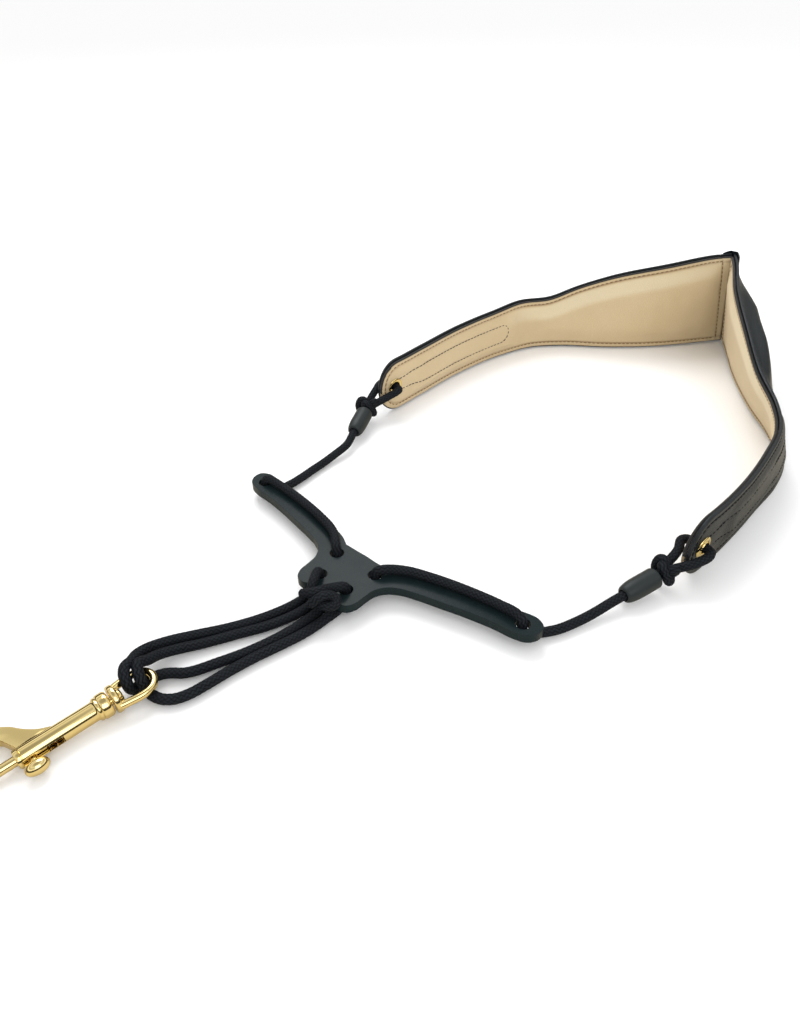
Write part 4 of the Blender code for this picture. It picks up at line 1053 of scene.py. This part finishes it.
foot = [(3.7, 0, 13.4), (4.1, 0, 11.0)]
arm = list(foot)
for step in range(13):
    turn = math.radians(15 * step)
    arm.append((4.6 * math.cos(turn), 0, 5.85 - 4.6 * math.sin(turn)))
arm += [(-x, y, z) for x, y, z in reversed(foot)]
eyeWire = wireTube("swivelEye", arm, 1.25, 1.3)
disc = turnedPiece("swivelEyeBase", [(1.55, 14.7), (3.9, 14.7), (4.3, 14.55), (4.5, 14.2), (4.5, 13.1), (4.3, 12.75),
                                     (3.9, 12.6), (1.55, 12.6)])
cutWith(eyeWire, disc, "UNION")
eyeWire.data.transform(snapMatrix)
smoothBy(eyeWire, 40)
dress(eyeWire, "gold", "eye", ["swivel_eye"])

rivet = turnedPiece("swivelRivet", [(0, 17.2), (1.25, 17.2), (1.25, 12.35), (2.3, 12.35), (2.4, 12.2), (2.3, 11.75),
                                    (1.9, 11.4), (1.2, 11.25), (0, 11.2)], snapMatrix, 48)
dress(rivet, "gold", "snap", ["swivel_rivet"])

barrel = turnedPiece("snapBody", [
    (0, 43.2), (2.6, 43.2), (2.9, 43.05), (3.0, 42.7), (3.0, 41.9), (2.8, 41.75), (2.8, 41.55), (3.0, 41.4),
    (3.0, 20.1), (3.15, 19.7), (3.45, 19.45), (3.65, 19.2), (3.72, 18.9), (3.6, 18.6), (3.55, 18.45), (3.85, 18.25),
    (3.98, 17.9), (4.0, 16.2), (3.9, 15.7), (3.6, 15.35), (3.3, 15.2), (0, 15.2)], steps=72)
jawOutline = ((0.0, 29.0), (-2.4, 31.0), (-4.4, 34.4), (-7.6, 37.8), (-11.2, 40.6), (-14.0, 44.4), (-15.0, 49.4),
              (-13.8, 55.0), (-10.0, 59.8), (-5.0, 62.4), (-0.4, 62.8), (1.9, 61.2), (0.4, 59.0), (-2.8, 58.4),
              (-6.6, 56.2), (-9.8, 52.4), (-10.7, 48.4), (-9.0, 44.8), (-6.0, 43.2), (-3.2, 42.0), (0.0, 40.6))
jaw = flatPlate("snapJaw", jawOutline, snap["jawThick"], -snap["jawThick"] / 2, 120)
applyBevel(jaw, 1.1)
jaw.data.transform(Matrix.Rotation(math.radians(90), 4, "X"))
cutWith(barrel, jaw, "UNION")
cutWith(barrel, turnedPiece("snapBore", [(0, 45.0), (2.1, 45.0), (2.1, 20.4), (0, 20.4)], steps=48))
deselectAll()
bpy.ops.mesh.primitive_cube_add(size=1.0, location=(0.0025, 0, sum(snap["slot"]) * 0.0005))
slotCutter = bpy.context.object
slotCutter.scale = (0.005, snap["slotWidth"] * 0.001, (snap["slot"][1] - snap["slot"][0]) * 0.001)
bpy.ops.object.transform_apply(location=True, rotation=True, scale=True)
cutWith(barrel, slotCutter)
cutWith(barrel, turnedPiece("rivetSocket", [(0, 17.6), (1.55, 17.6), (1.55, 14.2), (0, 14.2)], steps=40))
barrel.data.transform(snapMatrix)
smoothBy(barrel, 38)
dress(barrel, "gold", "snap", ["snap_body"])

rod = turnedPiece("slidingBolt", [(0, 58.6), (0.7, 58.55), (1.2, 58.3), (1.5, 57.9), (1.55, 57.4), (1.55, 41.0),
                                  (1.8, 40.8), (1.8, 35.3), (1.6, 35.0), (0, 35.0)], snapMatrix, 48)
dress(rod, "gold", "bolt", ["bolt"])
profile = [(0, 8.2)]
for step in range(1, 12):
    turn = math.radians(90 - 13 * step)
    profile.append((2.3 * math.cos(turn), 6.0 + 2.2 * math.sin(turn)))
profile += [(1.0, 4.2), (0.9, 3.4), (0.9, 2.1), (0, 2.1)]
knob = turnedPiece("thumbKnob", profile, steps=48)
knob.data.transform(Matrix.Diagonal((1.5, 1.0, 1.0, 1.0)))
knob.data.transform(snapMatrix @ Matrix.Translation((0, 0, snap["knobAt"] * 0.001))
                    @ Matrix.Rotation(math.radians(90), 4, "Y"))
dress(knob, "gold", "bolt", ["thumb_knob"])

# the coil spring behind the bolt, built at one fixed length; on the real snap it shortens as the bolt is drawn back
spring = {"coil": 1.55, "wire": 0.22, "first": 20.92, "last": 34.48, "turns": 7, "drawn": 7.2}
helix = bpy.data.curves.new("boltSpringCoil", "CURVE")
helix.dimensions = "3D"
helix.bevel_depth, helix.bevel_resolution, helix.use_fill_caps = spring["wire"] * 0.001, 3, True
track = helix.splines.new("POLY")
steps = spring["turns"] * 24
track.points.add(steps)
for i in range(steps + 1):
    turn = 2 * math.pi * i / 24
    place = Vector((spring["coil"] * math.cos(turn), spring["coil"] * math.sin(turn),
                    spring["first"] + (spring["last"] - spring["first"]) * i / steps))
    track.points[i].co = (*(place * 0.001), 1)
coil = bpy.data.objects.new("boltSpringCoil", helix)
bpy.context.scene.collection.objects.link(coil)
pick(coil)
bpy.ops.object.convert(target="MESH")
coil = bpy.context.object
coil.data.transform(snapMatrix)
dress(coil, "spring", "snap", ["bolt_spring"])
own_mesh(coil)
print("bolt snap made")

for node in ("left_strip", "right_strip"):
    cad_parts[node].data.materials.clear()
    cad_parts[node].data.materials.append(webbing)


# ---- floor and light
deselectAll()
bpy.ops.mesh.primitive_plane_add(size=8.0, location=(0, 0, -0.0002))
floor = bpy.context.object
floor.name = "floor"
material, nodes, links, shader = newMaterial("floor")
# the floor is white to the camera and to bounced light, but a dim warm grey in reflections: a painted reflection tone
# that puts darker bands in the polished metal
mirrored = nodes.new("ShaderNodeLightPath").outputs["Is Glossy Ray"]
surface(links, shader, mixColour(nodes, links, mirrored, (0.93, 0.93, 0.93), (0.62, 0.57, 0.47)), 0.9, 0.0)
floor.data.materials.append(material)


def softLight(name, place, power):
    light = bpy.data.lights.new(name, "AREA")
    light.shape = "RECTANGLE"
    light.size, light.size_y = 0.5, 0.5
    light.energy = power
    holder = bpy.data.objects.new(name, light)
    bpy.context.scene.collection.objects.link(holder)
    holder.location = place
    holder.rotation_mode = "QUATERNION"
    holder.rotation_quaternion = (-Vector(place)).to_track_quat("-Z", "Y")


softLight("keyLight", (-0.45, 0.25, 0.75), 4.0)
softLight("fillLight", (0.6, -0.3, 0.6), 1.5)
world = bpy.data.worlds.new("studio")
world.use_nodes = True
nodes, links = world.node_tree.nodes, world.node_tree.links
parts = nodes.new("ShaderNodeSeparateXYZ")
links.new(nodes.new("ShaderNodeTexCoord").outputs["Generated"], parts.inputs[0])
# what shiny parts see: a dark room with two soft strips overhead
room = nodes.new("ShaderNodeValToRGB")
stops = ((0.0, 0.45), (0.03, 0.05), (0.27, 0.04), (0.34, 0.34), (0.40, 0.45), (0.45, 1.3), (0.53, 1.3), (0.58, 0.68),
         (0.73, 0.58), (0.80, 0.95), (0.90, 0.75), (0.97, 0.4))
for i, (place, value) in enumerate(stops):
    stop = room.color_ramp.elements[i] if i < 2 else room.color_ramp.elements.new(place)
    stop.position = place
    stop.color = (value, value * 0.985, value * 0.95, 1.0)
links.new(parts.outputs["Z"], room.inputs["Fac"])
glossy = nodes.new("ShaderNodeLightPath").outputs["Is Glossy Ray"]
links.new(mixColour(nodes, links, glossy, (1.0, 1.0, 1.0), room.outputs["Color"]),
          nodes["Background"].inputs["Color"])
nodes["Background"].inputs["Strength"].default_value = 1.04
bpy.context.scene.world = world
bpy.context.scene.view_settings.view_transform = "Standard"
print("stage set")
